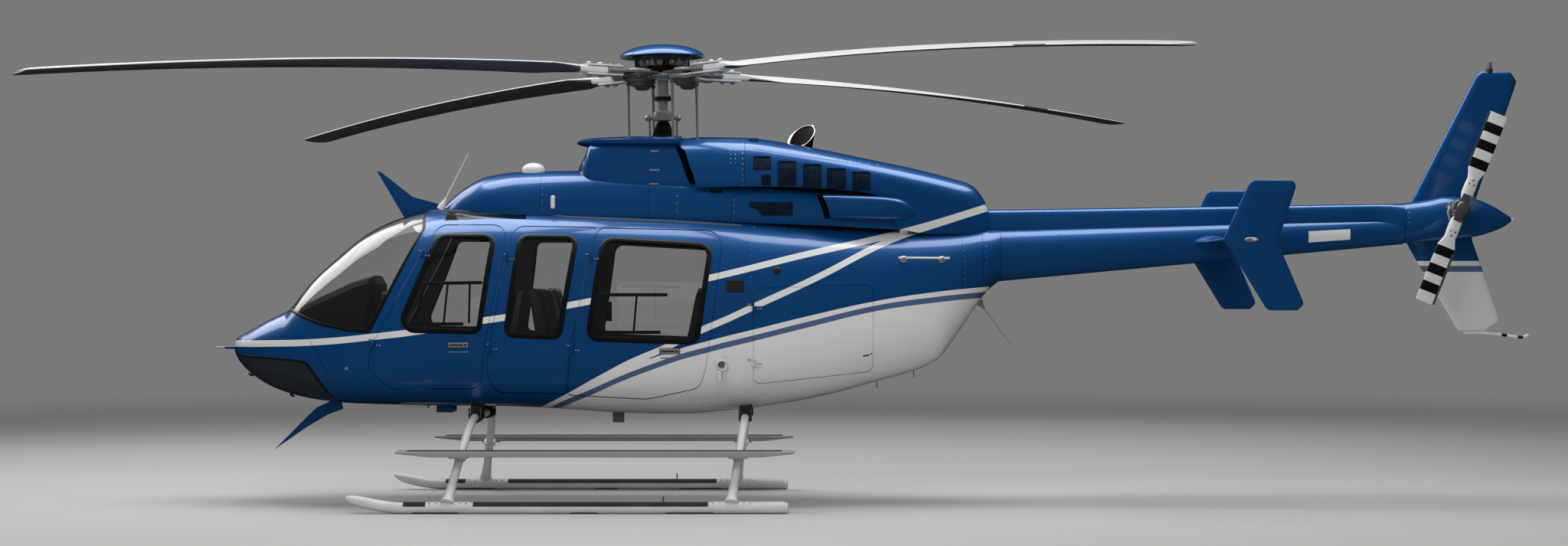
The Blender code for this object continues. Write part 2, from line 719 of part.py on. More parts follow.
def powertrain():
    """The engine and the gearbox under the mast as plain blocks, with the shaft between them."""
    made = box("engine_and_gearbox", (-0.75, -0.22, 2.150), (0.25, 0.22, ENGINE_TOP), CAST)
    gearbox = box("gearbox", (MAST_X - 0.24, -0.24, 2.150), (MAST_X + 0.24, 0.24, 2.680), cutter=True)
    shaft = rod("input_shaft", (MAST_X, 0, 2.50), (-0.70, 0, 2.50), 0.050, cutter=True)
    axis = Vector((math.sin(MAST_TILT), 0, math.cos(MAST_TILT)))
    hub = Vector((MAST_X, 0, HUB_Z))
    bearing = rod("mast_bearing", hub - axis * 0.80, hub - axis * 0.70, 0.080, cutter=True, sides=20)
    foot, top = hub - axis * (MAST_FOOT + 0.001), hub - axis * 0.65
    bore = rod("mast_bore", foot, top, MAST_RADIUS + 0.001, cutter=True, sides=20)
    joined(made, gearbox, shaft, bearing)
    return cut(made, bore, ROOF_FORM)


powertrain()

roof_fairing = hollow("roof_fairing", ROOF_FAIRING, 0.014, BLUE, 0.4)
cut(roof_fairing, ROOF_FORM)
DECK = box("deck_opening", (MAST_X - 0.36, -0.33, 2.40), (0.40, 0.33, 3.2), cutter=True)
cut(roof_fairing, DECK)


def offset_body(name, side, rows):
    made = body(name, rows)
    made.matrix_world = Matrix.Translation((0, side * SCOOP_Y, 0))
    return made


def scoops():
    """The air scoops on both sides of the roof fairing, each with a slanted open mouth in front."""
    mouth = [(-0.5, 2.20), (-0.5, 2.60), (-0.228, 2.60), (-0.228, 2.457), (-0.115, 2.250), (-0.115, 2.20)]
    for side, word in ((-1, "left"), (1, "right")):
        scoop = offset_body(f"scoop_{word}", side, SCOOP)
        near, far = sorted((0, side * 0.342))
        cut(scoop, box(f"scoop_trim_{word}", (-0.5, near, 2.0), (0.8, far, 2.8), cutter=True))
        near, far = sorted((side * 0.413, side * 0.455))
        cut(scoop, box(f"scoop_inside_{word}", (-0.5, near, 2.270), (0.06, far, 2.438), cutter=True))
        cut(scoop, prism(f"scoop_mouth_{word}", mouth, side * 0.408, side * 0.7, cutter=True))
        cut(scoop, body(f"cowl_form_{word}", ENGINE_COWLING, inset=-2 * LOFT_GAP))
        joined(roof_fairing, meshed(scoop))


def roof_aerials():
    """The whip and the dome on top of the fairing, and the lamp on its left side."""
    whip = rod("whip", (-3.150, 0, 2.36), (-3.016, 0, 2.790), 0.012, cutter=True, sides=8, radius_end=0.004)
    profile = [(0, 0.073), (0.042, 0.066), (0.075, 0.045), (0.094, 0.0), (0.094, -0.03), (0, -0.03)]
    dome = turned("dome", profile, None, cutter=True)
    dome.matrix_world = Matrix.Translation((-2.504, 0, 2.650))
    lamp = rod("side_lamp", (-2.312, -0.408, 2.345), (-2.312, -0.408, 2.440), 0.018, cutter=True, sides=10)
    joined(roof_fairing, whip, meshed(dome), lamp)


scoops()
roof_aerials()

engine_cowling = hollow("engine_cowling", ENGINE_COWLING, 0.014, BLUE, 0.3, open_front=True)
cut(engine_cowling, ROOF_FORM)
cut(engine_cowling, body("fairing_form", ROOF_FAIRING, inset=-LOFT_GAP))

WELL_RADIUS = 0.325
mast_fairing = hollow("mast_fairing", MAST_FAIRING, 0.014, BLUE, 0.3, open_back=True)
TOP_PLATE = [(-2.125, 2.885), (-2.140, 2.895), (-2.05, 2.912), (-1.75, 2.926), (-1.2703, 2.924), (-1.2703, 2.885)]


def top_plate():
    """The thin roof over the air intake, wide at the back and rounded in front."""
    made = prism("plate_form", TOP_PLATE, -0.46, 0.46, cutter=True)
    rows = []
    for k in range(9):
        turn = math.pi / 2 * k / 8
        x = -1.75 - 0.40 * math.sin(turn)
        rows.append((x, 0.445 * math.cos(turn) ** 0.7))
    right = [(-1.20, 0.445)] + rows
    outline = [(x, y) for x, y in right] + [(x, -y) for x, y in reversed(right[:-1])]
    plan = loft("plate_plan", [[(x, y, z) for x, y in outline] for z in (2.5, 3.2)])
    return kept(made, link("plate_plan", plan, None, True))


plate = meshed(top_plate())
joined(mast_fairing, plate)
cut(mast_fairing, body("fairing_form_2", ROOF_FAIRING, inset=-LOFT_GAP))
for cowl in (mast_fairing, engine_cowling):
    cut(cowl, rod(f"{cowl.name}_well", (MAST_X, 0, 2.70), (MAST_X, 0, 3.2), WELL_RADIUS, cutter=True, sides=28))


def exhaust():
    """A short stack that leans aft out of the cowling; it gives back the form of the hole around it."""
    points = [(-0.28, 0, ENGINE_TOP + SEAT_GAP), (-0.28, 0, 2.80), (-0.24, 0, 2.92), (-0.14, 0, 3.03)]
    stack = tube("exhaust_stack", points, 0.115, STEEL, sides=3)
    stack.data.materials.append(STEEL)
    bore = tube("exhaust_bore", [points[1], points[2], (-0.12, 0, 3.05)], 0.105, sides=3)
    cut(stack, bore)
    return tube("exhaust_gap", points, 0.120, sides=3)


cut(engine_cowling, exhaust())
for number, (front, rear, low, high) in enumerate(OPENINGS):
    outline = [(front, high), (rear, high), (rear, low), (front, low)]
    cut(engine_cowling, prism(f"opening_{number}", outline, -0.61, 0.62, cutter=True))
engine_cowling = meshed(engine_cowling)


# Tail


def boom_radius(x):
    return 0.219 - (x - BOOM_FRONT) * 0.0330


def boom_centre(x):
    return 1.987 + (x - BOOM_FRONT) * 0.0590


def boom_ring(x, grow=0.0, around=20):
    radius, middle = boom_radius(x) + grow, boom_centre(x)
    turns = [2 * math.pi * (k + 0.5) / around for k in range(around)]
    return [(x, radius * math.cos(t), middle + radius * math.sin(t)) for t in turns]


def tail_boom():
    stations = (BOOM_FRONT, 2.2, 3.4, BOOM_REAR)
    made = link("tail_boom", loft("tail_boom", [boom_ring(x) for x in stations]), BLUE)
    inside = [boom_ring(x, -0.008) for x in (BOOM_FRONT - 0.05, 2.2, 3.4, BOOM_REAR + 0.05)]
    return cut(made, link("boom_inside", loft("boom_inside", inside), None, True))


def shaft_cover():
    """The tunnel along the boom's top that covers the tail rotor drive shaft."""
    rings = []
    for x, top, half in ((1.1583, 2.345, 0.115), (1.6, 2.350, 0.112), (3.0, 2.372, 0.100), (4.4995, 2.395, 0.088)):
        low = boom_centre(x)
        points = []
        for k in range(11):
            turn = math.pi * k / 10
            y = half * math.copysign(abs(math.cos(turn)) ** 0.45, math.cos(turn))
            points.append((x, y, low + (top - low) * math.sin(turn) ** 0.45))
        rings.append(points)
    made = link("drive_shaft_cover", loft("drive_shaft_cover", rings), BLUE)
    stations = (BOOM_FRONT - 0.01, 2.2, 3.4, BOOM_REAR + 0.01)
    form = link("boom_form", loft("boom_form", [boom_ring(x, SEAT_GAP) for x in stations]), None, True)
    return cut(made, form, body("cover_seat", FUSELAGE, inset=-1.5 * LOFT_GAP))


def wing(name, rows, material, around=12):
    """A thin winged surface from rows of (leading edge, trailing edge, y, z, thickness)."""
    rings = []
    for front, rear, y, z, thick in rows:
        points = []
        for k in range(around):
            turn = 2 * math.pi * k / around
            share = 0.5 - 0.5 * math.cos(turn)
            lift = math.sin(turn) * (1.25 - 0.65 * share)
            points.append((front + (rear - front) * share, y, z + thick / 2 * lift))
        rings.append(points)
    return link(name, loft(name, rings), material)


FIN_Y, FIN_THICK = 0.112, 0.060
FIN = [
    (4.600, 2.410, 0.03),
    (5.130, 3.440, 0.08),
    (5.180, 3.475, 0.05),
    (5.410, 3.470, 0.05),
    (5.462, 3.390, 0.05),
    (5.130, 2.440, 0.03),
    (5.094, 2.120, 0.05),
    (5.328, 1.450, 0.04),
    (5.200, 1.366, 0.05),
    (4.985, 1.366, 0.04),
    (4.560, 2.090, 0.05),
]
ENDPLATE = [
    (3.095, 2.541, 0.07),
    (3.440, 2.541, 0.05),
    (3.285, 2.062, 0.05),
    (3.505, 1.590, 0.04),
    (3.455, 1.539, 0.03),
    (3.222, 1.539, 0.06),
    (2.885, 2.090, 0.04),
]


# The hollow of the boom where the stabilizer passes, as a body table
BOOM_INSIDE = [
    (2.6, 1.8975, 2.2366, 0.1660, 2.0671, 2.0, 2.0),
    (3.3, 1.9619, 2.2549, 0.1431, 2.1084, 2.0, 2.0),
]

STABILIZER = [
    # front  rear    side   height thickness
    (2.870, 3.290, -0.985, 2.076, 0.050),
    (2.800, 3.270, -0.120, 2.076, 0.060),
    (2.800, 3.270, 0.120, 2.076, 0.060),
    (2.870, 3.290, 0.985, 2.076, 0.050),
]


def tail():
    boom = tail_boom()
    cover = shaft_cover()
    stabilizer = wing("stabilizer", STABILIZER, BLUE)
    grow = LOFT_GAP
    slot_rows = [(a - grow, b + grow, y, z, thick + 3 * grow) for a, b, y, z, thick in STABILIZER]
    slot = wing("stabilizer_slot", slot_rows, None)
    for side, name in ((-1, "endplate_left"), (1, "endplate_right")):
        prism(name, arcs(ENDPLATE, 3), side * (0.985 + SEAT_GAP), side * 1.015, BLUE)
    cone = body("tail_cone", TAIL_CONE, around=20, cutter=False)
    cone.data.materials.append(BLUE)
    x, y, z = TAIL_HUB
    joined(cone, rod("tail_gearbox", (x, -0.02, z), (x, y + 0.0653, z), 0.060, cutter=True, sides=16))
    cut(cone, box("cone_side", (4.0, FIN_Y, 1.8), (6.0, 0.4, 2.8), cutter=True))
    fin = prism("vertical_fin", arcs(FIN, 3), FIN_Y + SEAT_GAP, FIN_Y + FIN_THICK, BLUE)
    lamp_at = Vector((5.2405, FIN_Y + FIN_THICK / 2, 3.46))
    lamp_top = lamp_at + Vector((0, 0, 0.094))
    joined(fin, rod("fin_lamp", lamp_at, lamp_top, 0.025, cutter=True, sides=12, radius_end=0.018))
    for side, name in ((-1, "endplate_left"), (1, "endplate_right")):
        near, far = side * 1.02 - 0.013, side * 1.02 + 0.013
        lamp = box(f"{name}_lamp", (3.225, near, 2.097), (3.348, far, 2.141), cutter=True)
        joined(bpy.data.objects[name], lamp)
        inner, outer = (2.94, side * 0.10, 2.076), (2.94, side * 0.30, 2.076)
        root = rod(f"root_fairing_{side}", inner, outer, 0.066, cutter=True, radius_end=0.034)
        there, back = Matrix.Translation((2.94, 0, 0)), Matrix.Translation((-2.94, 0, 0))
        root.matrix_world = there @ Matrix.Diagonal((2.2, 1, 1, 1)) @ back @ root.matrix_world
        cut(root, body(f"boom_inside_{side}", BOOM_INSIDE))
        joined(boom, root)
    cut(boom, slot)
    return boom, cover, stabilizer, cone, fin


tail()
tube(
    "tail_skid",
    [(5.02, 0.142, 1.3537), (5.19, 0.142, 1.3537), (5.30, 0.142, 1.343), (5.46, 0.142, 1.318), (5.56, 0.142, 1.330)],
    0.012,
    STEEL,
)


def tail_rotor():
    """The hub with its two blades, in one piece, on the left side of the tail cone."""
    hub = rod("tail_rotor", (0, -0.045, 0), (0, 0.065, 0), 0.055, WHITE, sides=16)
    rows = [(0.10, 0.100, 0.044), (0.20, 0.100, 0.040), (0.27, 0.085, 0.028), (0.36, TAIL_CHORD, 0.020),
            (TAIL_RADIUS, TAIL_CHORD, 0.014)]
    rings = []
    for r, chord, thick in [(-r, c, t) for r, c, t in reversed(rows)] + rows:
        turns = [2 * math.pi * k / 10 for k in range(10)]
        rings.append([(-chord / 2 * math.cos(t), thick / 2 * math.sin(t), r) for t in turns])
    place = Matrix.Translation(TAIL_HUB) @ Matrix.Rotation(TAIL_ANGLE, 4, "Y")
    pair = link("tail_blades", loft("tail_blades", rings), None, True)
    hub.matrix_world = place @ hub.matrix_world
    pair.matrix_world = place
    return joined(hub, pair)


tail_rotor()


# Landing gear


def cross_tube_path(top_x, bottom_x):
    """Half of an arch from the belly down to a skid, mirrored: x, y, z."""
    half = []
    for y, z in ((0.0, 0.700), (0.38, 0.700), (0.56, 0.688), (0.72, 0.640), (0.86, 0.545), (0.98, 0.425),
                 (1.10, 0.280), (1.2275, 0.110)):
        share = (0.700 - z) / 0.59
        half.append((top_x + (bottom_x - top_x) * share, y, z))
    return [(x, -y, z) for x, y, z in reversed(half[1:])] + half


SADDLE_TOP = 0.124


def landing_gear():
    legs = {"cross_tube_front": (-2.915, -3.030), "cross_tube_rear": (-0.790, -0.880)}
    floor = box("below_saddles", (-6, -2, -0.5), (2, 2, SADDLE_TOP + SEAT_GAP), cutter=True)
    for name, (top_x, bottom_x) in legs.items():
        cut(tube(name, cross_tube_path(top_x, bottom_x), CROSS_TUBE, WHITE), floor)
    for side, word in ((-1, "left"), (1, "right")):
        y = side * SKID_Y
        path = [(SKID_REAR, y, SKID_TUBE), (SKID_BEND, y, SKID_TUBE)]
        for k in range(1, 6):
            share = k / 5
            x = SKID_BEND + (SKID_TIP - SKID_BEND) * share
            path.append((x, y, SKID_TUBE + 0.075 * share**1.7))
        skid = tube(f"skid_{word}", path, SKID_TUBE, WHITE)
        for tag, (_, x) in legs.items():
            shoe = box(f"shoe_{word}_{tag}", (x - 0.11, y - 0.040, 0.060), (x + 0.11, y + 0.040, 0.098), cutter=True)
            socket = box(f"socket_{word}_{tag}", (x - 0.045, y - 0.042, 0.09), (x + 0.045, y + 0.042, SADDLE_TOP),
                         cutter=True)
            joined(skid, shoe, socket)
        near, far = sorted((side * STEP_INNER, side * STEP_OUTER))
        plan = [(-3.44, 0.468), (-0.405, 0.468), (-0.405, 0.450), (-0.65, 0.424), (-3.18, 0.424), (-3.44, 0.450)]
        step = prism(f"step_{word}", plan, near, far, STEEL)
        for name, (top_x, bottom_x) in legs.items():
            path = cross_tube_path(top_x, bottom_x)
            cut(step, tube(f"{name}_slot_{word}", path, CROSS_TUBE + SEAT_GAP * 2))
            bpy.data.objects[f"{name}_slot_{word}"].hide_render = True
    mounts = {"belly_tub": -2.915, "aft_fuselage": -0.790}
    for name, x in mounts.items():
        for side in (-1, 1):
            low = 0.700 + CROSS_TUBE + SEAT_GAP
            block = box(f"{name}_mount_{side}", (x - 0.05, side * 0.30 - 0.04, low), (x + 0.05, side * 0.30 + 0.04, 0.800),
                        cutter=True)
            joined(SKIN_PANELS[name], block)


landing_gear()


def skin_fittings():
    """The aerials under the cabin, the grab bar beside the baggage bay and the levers of the doors."""
    blade = box("belly_blade", (-1.865, -0.006, 0.632), (-1.772, 0.006, 0.800), cutter=True)
    joined(SKIN_PANELS["belly_tub"], blade)
    aerial = box("belly_box", (-3.275, -0.10, 0.716), (-3.207, 0.10, 0.800), cutter=True)
    joined(SKIN_PANELS["nose_shell"], aerial)
    bar_y = -side_of(0.61, 1.940) - 0.030
    bar = rod("grab_bar", (0.43, bar_y, 1.940), (0.795, bar_y, 1.940), 0.009, cutter=True, sides=8)
    joined(SKIN_PANELS["aft_fuselage"], bar)
    for x in (0.435, 0.790):
        foot, head = (x, bar_y + 0.055, 1.940), (x, bar_y - 0.004, 1.940)
        joined(SKIN_PANELS["aft_fuselage"], rod(f"grab_post_{x}", foot, head, 0.014, cutter=True, sides=8))
    # door: station, height, half length of its lever
    levers = {
        "crew_door_left": (-3.017, 1.269, 0.080),
        "crew_door_right": (-3.017, 1.269, 0.080),
        "passenger_door_left": (-1.373, 1.222, 0.078),
        "passenger_door_right": (-1.373, 1.222, 0.078),
        "baggage_door_left": (0.155, 1.183, 0.035),
    }
    for name, (x, z, half) in levers.items():
        side = DOORS[name][2]
        near, far = sorted((side * (side_of(x, z) - 0.010), side * (side_of(x, z) + 0.016)))
        lever = box(f"{name}_lever", (x - half, near, z - 0.011), (x + half, far, z + 0.011), cutter=True)
        joined(bpy.data.objects[name], lever)


skin_fittings()


# Wire cutters and the probe on the nose


UPPER_CUTTER = [(-3.767, 2.658), (-3.735, 2.650), (-3.48, 2.450), (-3.26, 2.390), (-3.26, 2.30), (-3.52, 2.24)]
LOWER_CUTTER = [
    (-4.590, 0.416),
    (-4.326, 0.682),
    (-4.250, 0.753),
    (-4.150, 0.800),
    (-4.060, 0.860),
    (-4.040, 0.740),
    (-4.158, 0.697),
    (-4.326, 0.599),
]
cut(prism("wire_cutter_upper", UPPER_CUTTER, -0.008, 0.008, BLUE), body("roof_form_2", FUSELAGE, inset=-LOFT_GAP))
cut(prism("wire_cutter_lower", LOWER_CUTTER, -0.008, 0.008, BLUE), body("roof_form_3", FUSELAGE, inset=-LOFT_GAP))
joined(SKIN_PANELS["nose_shell"], rod("pitot_tube", (-5.07, 0, 1.235), (-4.88, 0, 1.235), 0.011, cutter=True, sides=8))


# Main rotor, in the frame of its own axis: z is counted from the plane of the yoke


ROTOR = bpy.data.objects.new("main_rotor_axis", None)
PARTS.objects.link(ROTOR)
ROTOR.location = (MAST_X, 0, HUB_Z)
ROTOR.rotation_euler = (0, MAST_TILT, 0)
LINK_RADIUS, LINK_PHASE = 0.285, math.radians(-22.6)
LINK_FOOT, LINK_HEAD = -0.660, -0.070


def on_rotor(obj, turn=0.0):
    obj.parent = ROTOR
    obj.rotation_euler = (0, 0, turn)
    return obj


def polar(radius, angle, z):
    return (radius * math.cos(angle), radius * math.sin(angle), z)


def rotor_mast():
    """The mast with its collars, from inside the gearbox well up to the cap."""
    profile = [(0, 0.125), (0.055, 0.125), (0.055, -0.185), (0.070, -0.19), (0.070, -0.225), (0.050, -0.23),
               (0.040, -0.30), (0.085, -0.325), (0.085, -0.385), (0.040, -0.39), (0.082, -0.500), (0.082, -0.515),
               (MAST_RADIUS, -0.52), (MAST_RADIUS, -MAST_FOOT), (0, -MAST_FOOT)]
    return on_rotor(meshed(turned("rotor_mast", profile, None, sides=20, cutter=True)))


def hub_cap():
    profile = [(0, 0.228), (0.12, 0.222), (0.24, 0.198), (0.320, 0.160), (0.345, 0.132), (0.335, 0.125), (0.30, 0.130),
               (0.20, 0.1253), (0, 0.1253)]
    return on_rotor(turned("hub_cap", profile, BLUE, sides=32))


def rotor_hub():
    """The yoke with its four arms, the cone under the cap, and a damper, grip and pitch horn on each arm."""
    drum = [(0, 0.120), (0.244, 0.120), (0.240, 0.108), (0.150, 0.060), (0.080, 0.040), (0.148, 0.030), (0.148, -0.034),
            (0.065, -0.050), (0, -0.050)]
    hub = meshed(turned("rotor_head", drum, None, sides=20))
    hub.data.materials.append(STEEL)
    on_rotor(hub)
    joined(hub, rotor_mast())
    for number in range(4):
        angle = BLADE_ONE + number * math.pi / 2
        pieces = {
            "arm": ((0.10, -0.075, -0.016), (0.57, 0.075, 0.016)),
            "upper_plate": ((0.44, -0.062, 0.0283), (0.78, 0.062, 0.044)),
            "lower_plate": ((0.44, -0.062, -0.044), (0.78, 0.062, -0.0283)),
            "heel": ((0.435, -0.058, -0.031), (0.585, 0.058, 0.031)),
        }
        for word, (low, high) in pieces.items():
            piece = box(f"{word}_{number}", low, high, cutter=True)
            piece.matrix_world = Matrix.Rotation(angle, 4, "Z")
            piece.parent = ROTOR
            joined(hub, piece)
        profile = [(0, 0.024), (0.050, 0.024), (0.109, -0.009), (0.104, -0.050), (0.062, -0.108), (0.058, -0.120),
                   (0, -0.120)]
        bowl = meshed(turned(f"damper_{number}", profile, None, sides=16, cutter=True))
        bowl.matrix_world = Matrix.Translation(polar(0.262, angle, 0))
        bowl.parent = ROTOR
        joined(hub, bowl)
        link_at = angle + LINK_PHASE
        horn = rod(f"horn_{number}", polar(0.47, angle, -0.035), polar(LINK_RADIUS, link_at, -0.045), 0.020,
                   cutter=True, sides=8)
        horn.parent = ROTOR
        boss = rod(f"horn_boss_{number}", polar(LINK_RADIUS, link_at, LINK_HEAD + SEAT_GAP),
                   polar(LINK_RADIUS, link_at, -0.02), 0.022, cutter=True, sides=8)
        boss.parent = ROTOR
        joined(hub, horn, boss)
    return hub


def swashplate():
    """The turning ring with its four pitch links, over the ring that stands still."""
    plate_z = -0.660
    profile = [(0.060, plate_z + 0.02), (0.235, plate_z + 0.02), (0.235, plate_z - 0.02), (0.060, plate_z - 0.02),
               (0.060, plate_z + 0.02)]
    ring_ = meshed(turned("swashplate_rotating", profile, STEEL, sides=24))
    ring_.data.materials.append(STEEL)
    on_rotor(ring_)
    for number in range(4):
        angle = BLADE_ONE + number * math.pi / 2 + LINK_PHASE
        ear = rod(f"ear_{number}", polar(0.20, angle, plate_z), polar(LINK_RADIUS, angle, plate_z), 0.017,
                  cutter=True, sides=8)
        rod_ = rod(f"pitch_link_{number}", polar(LINK_RADIUS, angle, LINK_FOOT - 0.01), polar(LINK_RADIUS, angle, LINK_HEAD),
                   0.011, cutter=True, sides=8)
        for piece in (ear, rod_):
            piece.parent = ROTOR
            joined(ring_, piece)
    return ring_


def blade(number):
    """One blade: a flat root between the grip's plates, then a twisted section that sags to the tip."""
    angle = BLADE_ONE + number * math.pi / 2
    rows = [
        # radius, chord, thickness, share of a wing section, pitch in degrees
        (0.5853, 0.110, 0.056, 0.0, 0.0),
        (0.80, 0.115, 0.056, 0.0, 0.0),
        (0.95, 0.190, 0.046, 0.6, 6.0),
        (1.20, BLADE_CHORD, 0.034, 1.0, 10.0),
        (2.50, BLADE_CHORD, 0.033, 1.0, 8.0),
        (4.00, BLADE_CHORD, 0.032, 1.0, 5.5),
        (5.30, BLADE_CHORD, 0.030, 1.0, 3.5),
        (ROTOR_RADIUS, BLADE_CHORD * 0.90, 0.024, 1.0, 3.5),
    ]
    around = 12
    rings = []
    for r, chord, thick, wing_share, pitch in rows:
        sag = BLADE_DROOP * max(0.0, r - 0.8) ** 2
        tilt = math.radians(pitch)
        points = []
        for k in range(around):
            turn = 2 * math.pi * (k + 0.5) / around
            c, s = math.cos(turn), math.sin(turn)
            flat = (math.copysign(abs(c) ** 0.4, c), math.copysign(abs(s) ** 0.4, s))
            foil = (c, s * (1.15 + 0.45 * c))
            across = (flat[0] * (1 - wing_share) + foil[0] * wing_share) * chord / 2
            up = (flat[1] * (1 - wing_share) + foil[1] * wing_share) * thick / 2
            across -= 0.06 * wing_share * chord
            points.append((r, across * math.cos(tilt) - up * math.sin(tilt),
                           across * math.sin(tilt) + up * math.cos(tilt) - sag))
        rings.append(points)
    made = link(f"rotor_blade_{number + 1}", loft("rotor_blade", rings), WHITE)
    return on_rotor(made, angle)


hub_cap()
rotor_hub()
swashplate()
for index in range(4):
    blade(index)

CREASE = math.radians(35)  # edges sharper than this stay sharp when the piece is shaded smooth
for piece in PARTS.objects:
    if piece.type == "MESH":
        piece.data.shade_smooth()
        piece.data.set_sharp_from_angle(angle=CREASE)

for door, (low_end, high_end) in AXES.items():
    axis = (high_end - low_end).normalized()
    print(door, "hinge", [round(v, 5) for v in low_end], "axis", [round(v, 5) for v in axis])
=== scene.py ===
# %% [markdown]
# # A light helicopter on skids, finished in Blender
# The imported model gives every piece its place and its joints. This file dresses it: smooth skins
# over the faceted ones, paint with its lines, glass, rubber, seats, and the rotor's metalwork.
# Run the cells from top to bottom. Lengths are in metres, +X runs aft, +Y right and +Z up.

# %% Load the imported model
from math import copysign, cos, degrees, hypot, pi, radians, sin, tan

import bmesh
import bpy
import numpy as np
from mathutils import Matrix, Vector


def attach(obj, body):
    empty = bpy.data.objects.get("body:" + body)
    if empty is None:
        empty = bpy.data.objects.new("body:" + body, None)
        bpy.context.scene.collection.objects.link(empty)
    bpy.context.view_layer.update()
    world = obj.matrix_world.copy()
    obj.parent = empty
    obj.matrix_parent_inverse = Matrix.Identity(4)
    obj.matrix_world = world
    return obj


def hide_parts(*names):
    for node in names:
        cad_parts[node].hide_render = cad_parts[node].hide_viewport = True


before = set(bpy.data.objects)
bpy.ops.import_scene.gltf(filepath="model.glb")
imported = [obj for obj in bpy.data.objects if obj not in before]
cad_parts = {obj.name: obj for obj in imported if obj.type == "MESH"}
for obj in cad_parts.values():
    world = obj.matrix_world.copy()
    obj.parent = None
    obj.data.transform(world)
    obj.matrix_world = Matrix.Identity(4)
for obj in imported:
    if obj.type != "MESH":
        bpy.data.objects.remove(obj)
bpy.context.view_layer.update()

SCENE = bpy.context.scene

# %% [markdown]
# ## Camera, floor and light
# The machine is seen square from its left side by a long lens at eye height, so its side outline
# hardly distorts. A small upward shift keeps it level while it sits low in the frame. The floor
# is a plain pale sheet that fades into the backdrop, as the curve of a studio wall would.

# %% Camera
CAMERA_PLACE = Vector((-0.485, -20.56, 1.645))
camera_data = bpy.data.cameras.new("side_camera")
camera_data.lens, camera_data.sensor_width = 58.55, 36.0
camera_data.shift_y = 0.0151
camera_data.clip_end = 200
camera = bpy.data.objects.new("side_camera", camera_data)
camera.location = CAMERA_PLACE
camera.rotation_euler = (pi / 2, 0, 0)
SCENE.collection.objects.link(camera)
SCENE.camera = camera
print("camera distance:", round(-CAMERA_PLACE.y, 2), "m, lens", camera_data.lens, "mm")

# %% [markdown]
# ## Helpers for every finish
# Paint makers give colours as sRGB hex codes, while the shader works in linear light, so one
# function converts them. Another adds any node with its settings and its links, and a third
# starts a material.


# %% Colour and node helpers
def linear(code):
    """An sRGB hex code as linear red, green, blue and alpha."""
    parts = [int(code[k : k + 2], 16) / 255 for k in (1, 3, 5)]
    return (*[c / 12.92 if c <= 0.04045 else ((c + 0.055) / 1.055) ** 2.4 for c in parts], 1)


def feed(node, **inputs):
    """Sets or links inputs by name, with _ for a space, or by place as i0, i1. A hex code is a colour."""
    for name, value in inputs.items():
        key = int(name[1:]) if name[1:].isdigit() else name.replace("_", " ")
        if isinstance(value, bpy.types.NodeSocket):
            node.id_data.links.new(value, node.inputs[key])
        else:
            node.inputs[key].default_value = linear(value) if isinstance(value, str) else value


def add(tree, kind, *values, out=0, **named):
    """Adds a node and gives one of its outputs. Values fill its inputs in their order; a name in
    lower case is a setting, and any other name is an input."""
    made = tree.nodes.new("ShaderNode" + kind)
    for name in [name for name in named if name.islower() and not name[1:].isdigit()]:
        setattr(made, name, named.pop(name))
    feed(made, **{f"i{k}": value for k, value in enumerate(values)}, **named)
    return made.outputs[out]


RGBA = {"out": 2, "data_type": "RGBA"}  # the settings and the output of a node that mixes colours


def finish_of(name, **sockets):
    """A new material, its node tree and its Principled shader with those sockets set."""
    made = bpy.data.materials.new(name)
    made.use_nodes = True
    shader = made.node_tree.nodes["Principled BSDF"]
    feed(shader, **sockets)
    return made, made.node_tree, shader


print("blue enamel in linear light:", [round(v, 3) for v in linear("#034886")[:3]])


# %% Floor, backdrop and lamps
LAMPS = {
    # name: place, aim, width, depth, power in watts, seen in gloss
    "overhead_softbox": ((0.0, 0.4, 9.5), (0.0, 0.0, 1.5), 14.0, 5.0, 1000, True),
    "front_softbox": ((-3.0, -11.0, 9.5), (0.0, 0.0, 1.5), 9.0, 4.0, 560, False),
    "low_softbox": ((-1.0, -14.0, 4.0), (0.0, 0.0, 1.5), 12.0, 4.0, 300, False),
    "rear_softbox": ((2.0, 13.0, 8.0), (0.0, 0.0, 1.5), 12.0, 4.0, 300, False),
    "nose_softbox": ((-7.4, 3.2, 9.4), (-3.6, 0.0, 2.0), 4.0, 6.0, 70, True),
    "nose_softbox_wide": ((-9.8, 5.0, 7.9), (-4.4, 0.0, 1.4), 6.5, 6.5, 330, True),
}
FLOOR_RADIUS, FADE_FROM, FADE_TO = 60, 9.0, 26.0  # the floor fades away over the last two


def make_world():
    world = bpy.data.worlds.new("studio")
    SCENE.world = world
    world.use_nodes = True
    feed(world.node_tree.nodes["Background"], Color="#a9a9a8", Strength=0.49)
    world.cycles_visibility.glossy = False  # gloss mirrors the lamps alone
    SCENE.view_settings.view_transform = "Standard"  # the blue keeps the saturation of its paint


def make_floor():
    bm = bmesh.new()
    bmesh.ops.create_circle(bm, cap_ends=True, segments=96, radius=FLOOR_RADIUS)
    mesh = bpy.data.meshes.new("studio_floor")
    bm.to_mesh(mesh)
    bm.free()
    floor = bpy.data.objects.new("studio_floor", mesh)
    SCENE.collection.objects.link(floor)
    material, tree, shader = finish_of("matt_floor_paint", Roughness=0.75, Base_Color="#b4b4b2")
    where = add(tree, "TexCoord", out="Object")
    far = add(tree, "VectorMath", where, out="Value", operation="LENGTH")
    fade = add(tree, "MapRange", Value=far, From_Min=FADE_FROM, From_Max=FADE_TO, interpolation_type="SMOOTHSTEP")
    mixed = add(tree, "MixShader", fade, shader.outputs[0], add(tree, "BsdfTransparent"))
    feed(tree.nodes["Material Output"], Surface=mixed)
    mesh.materials.append(material)
    floor.visible_glossy = False


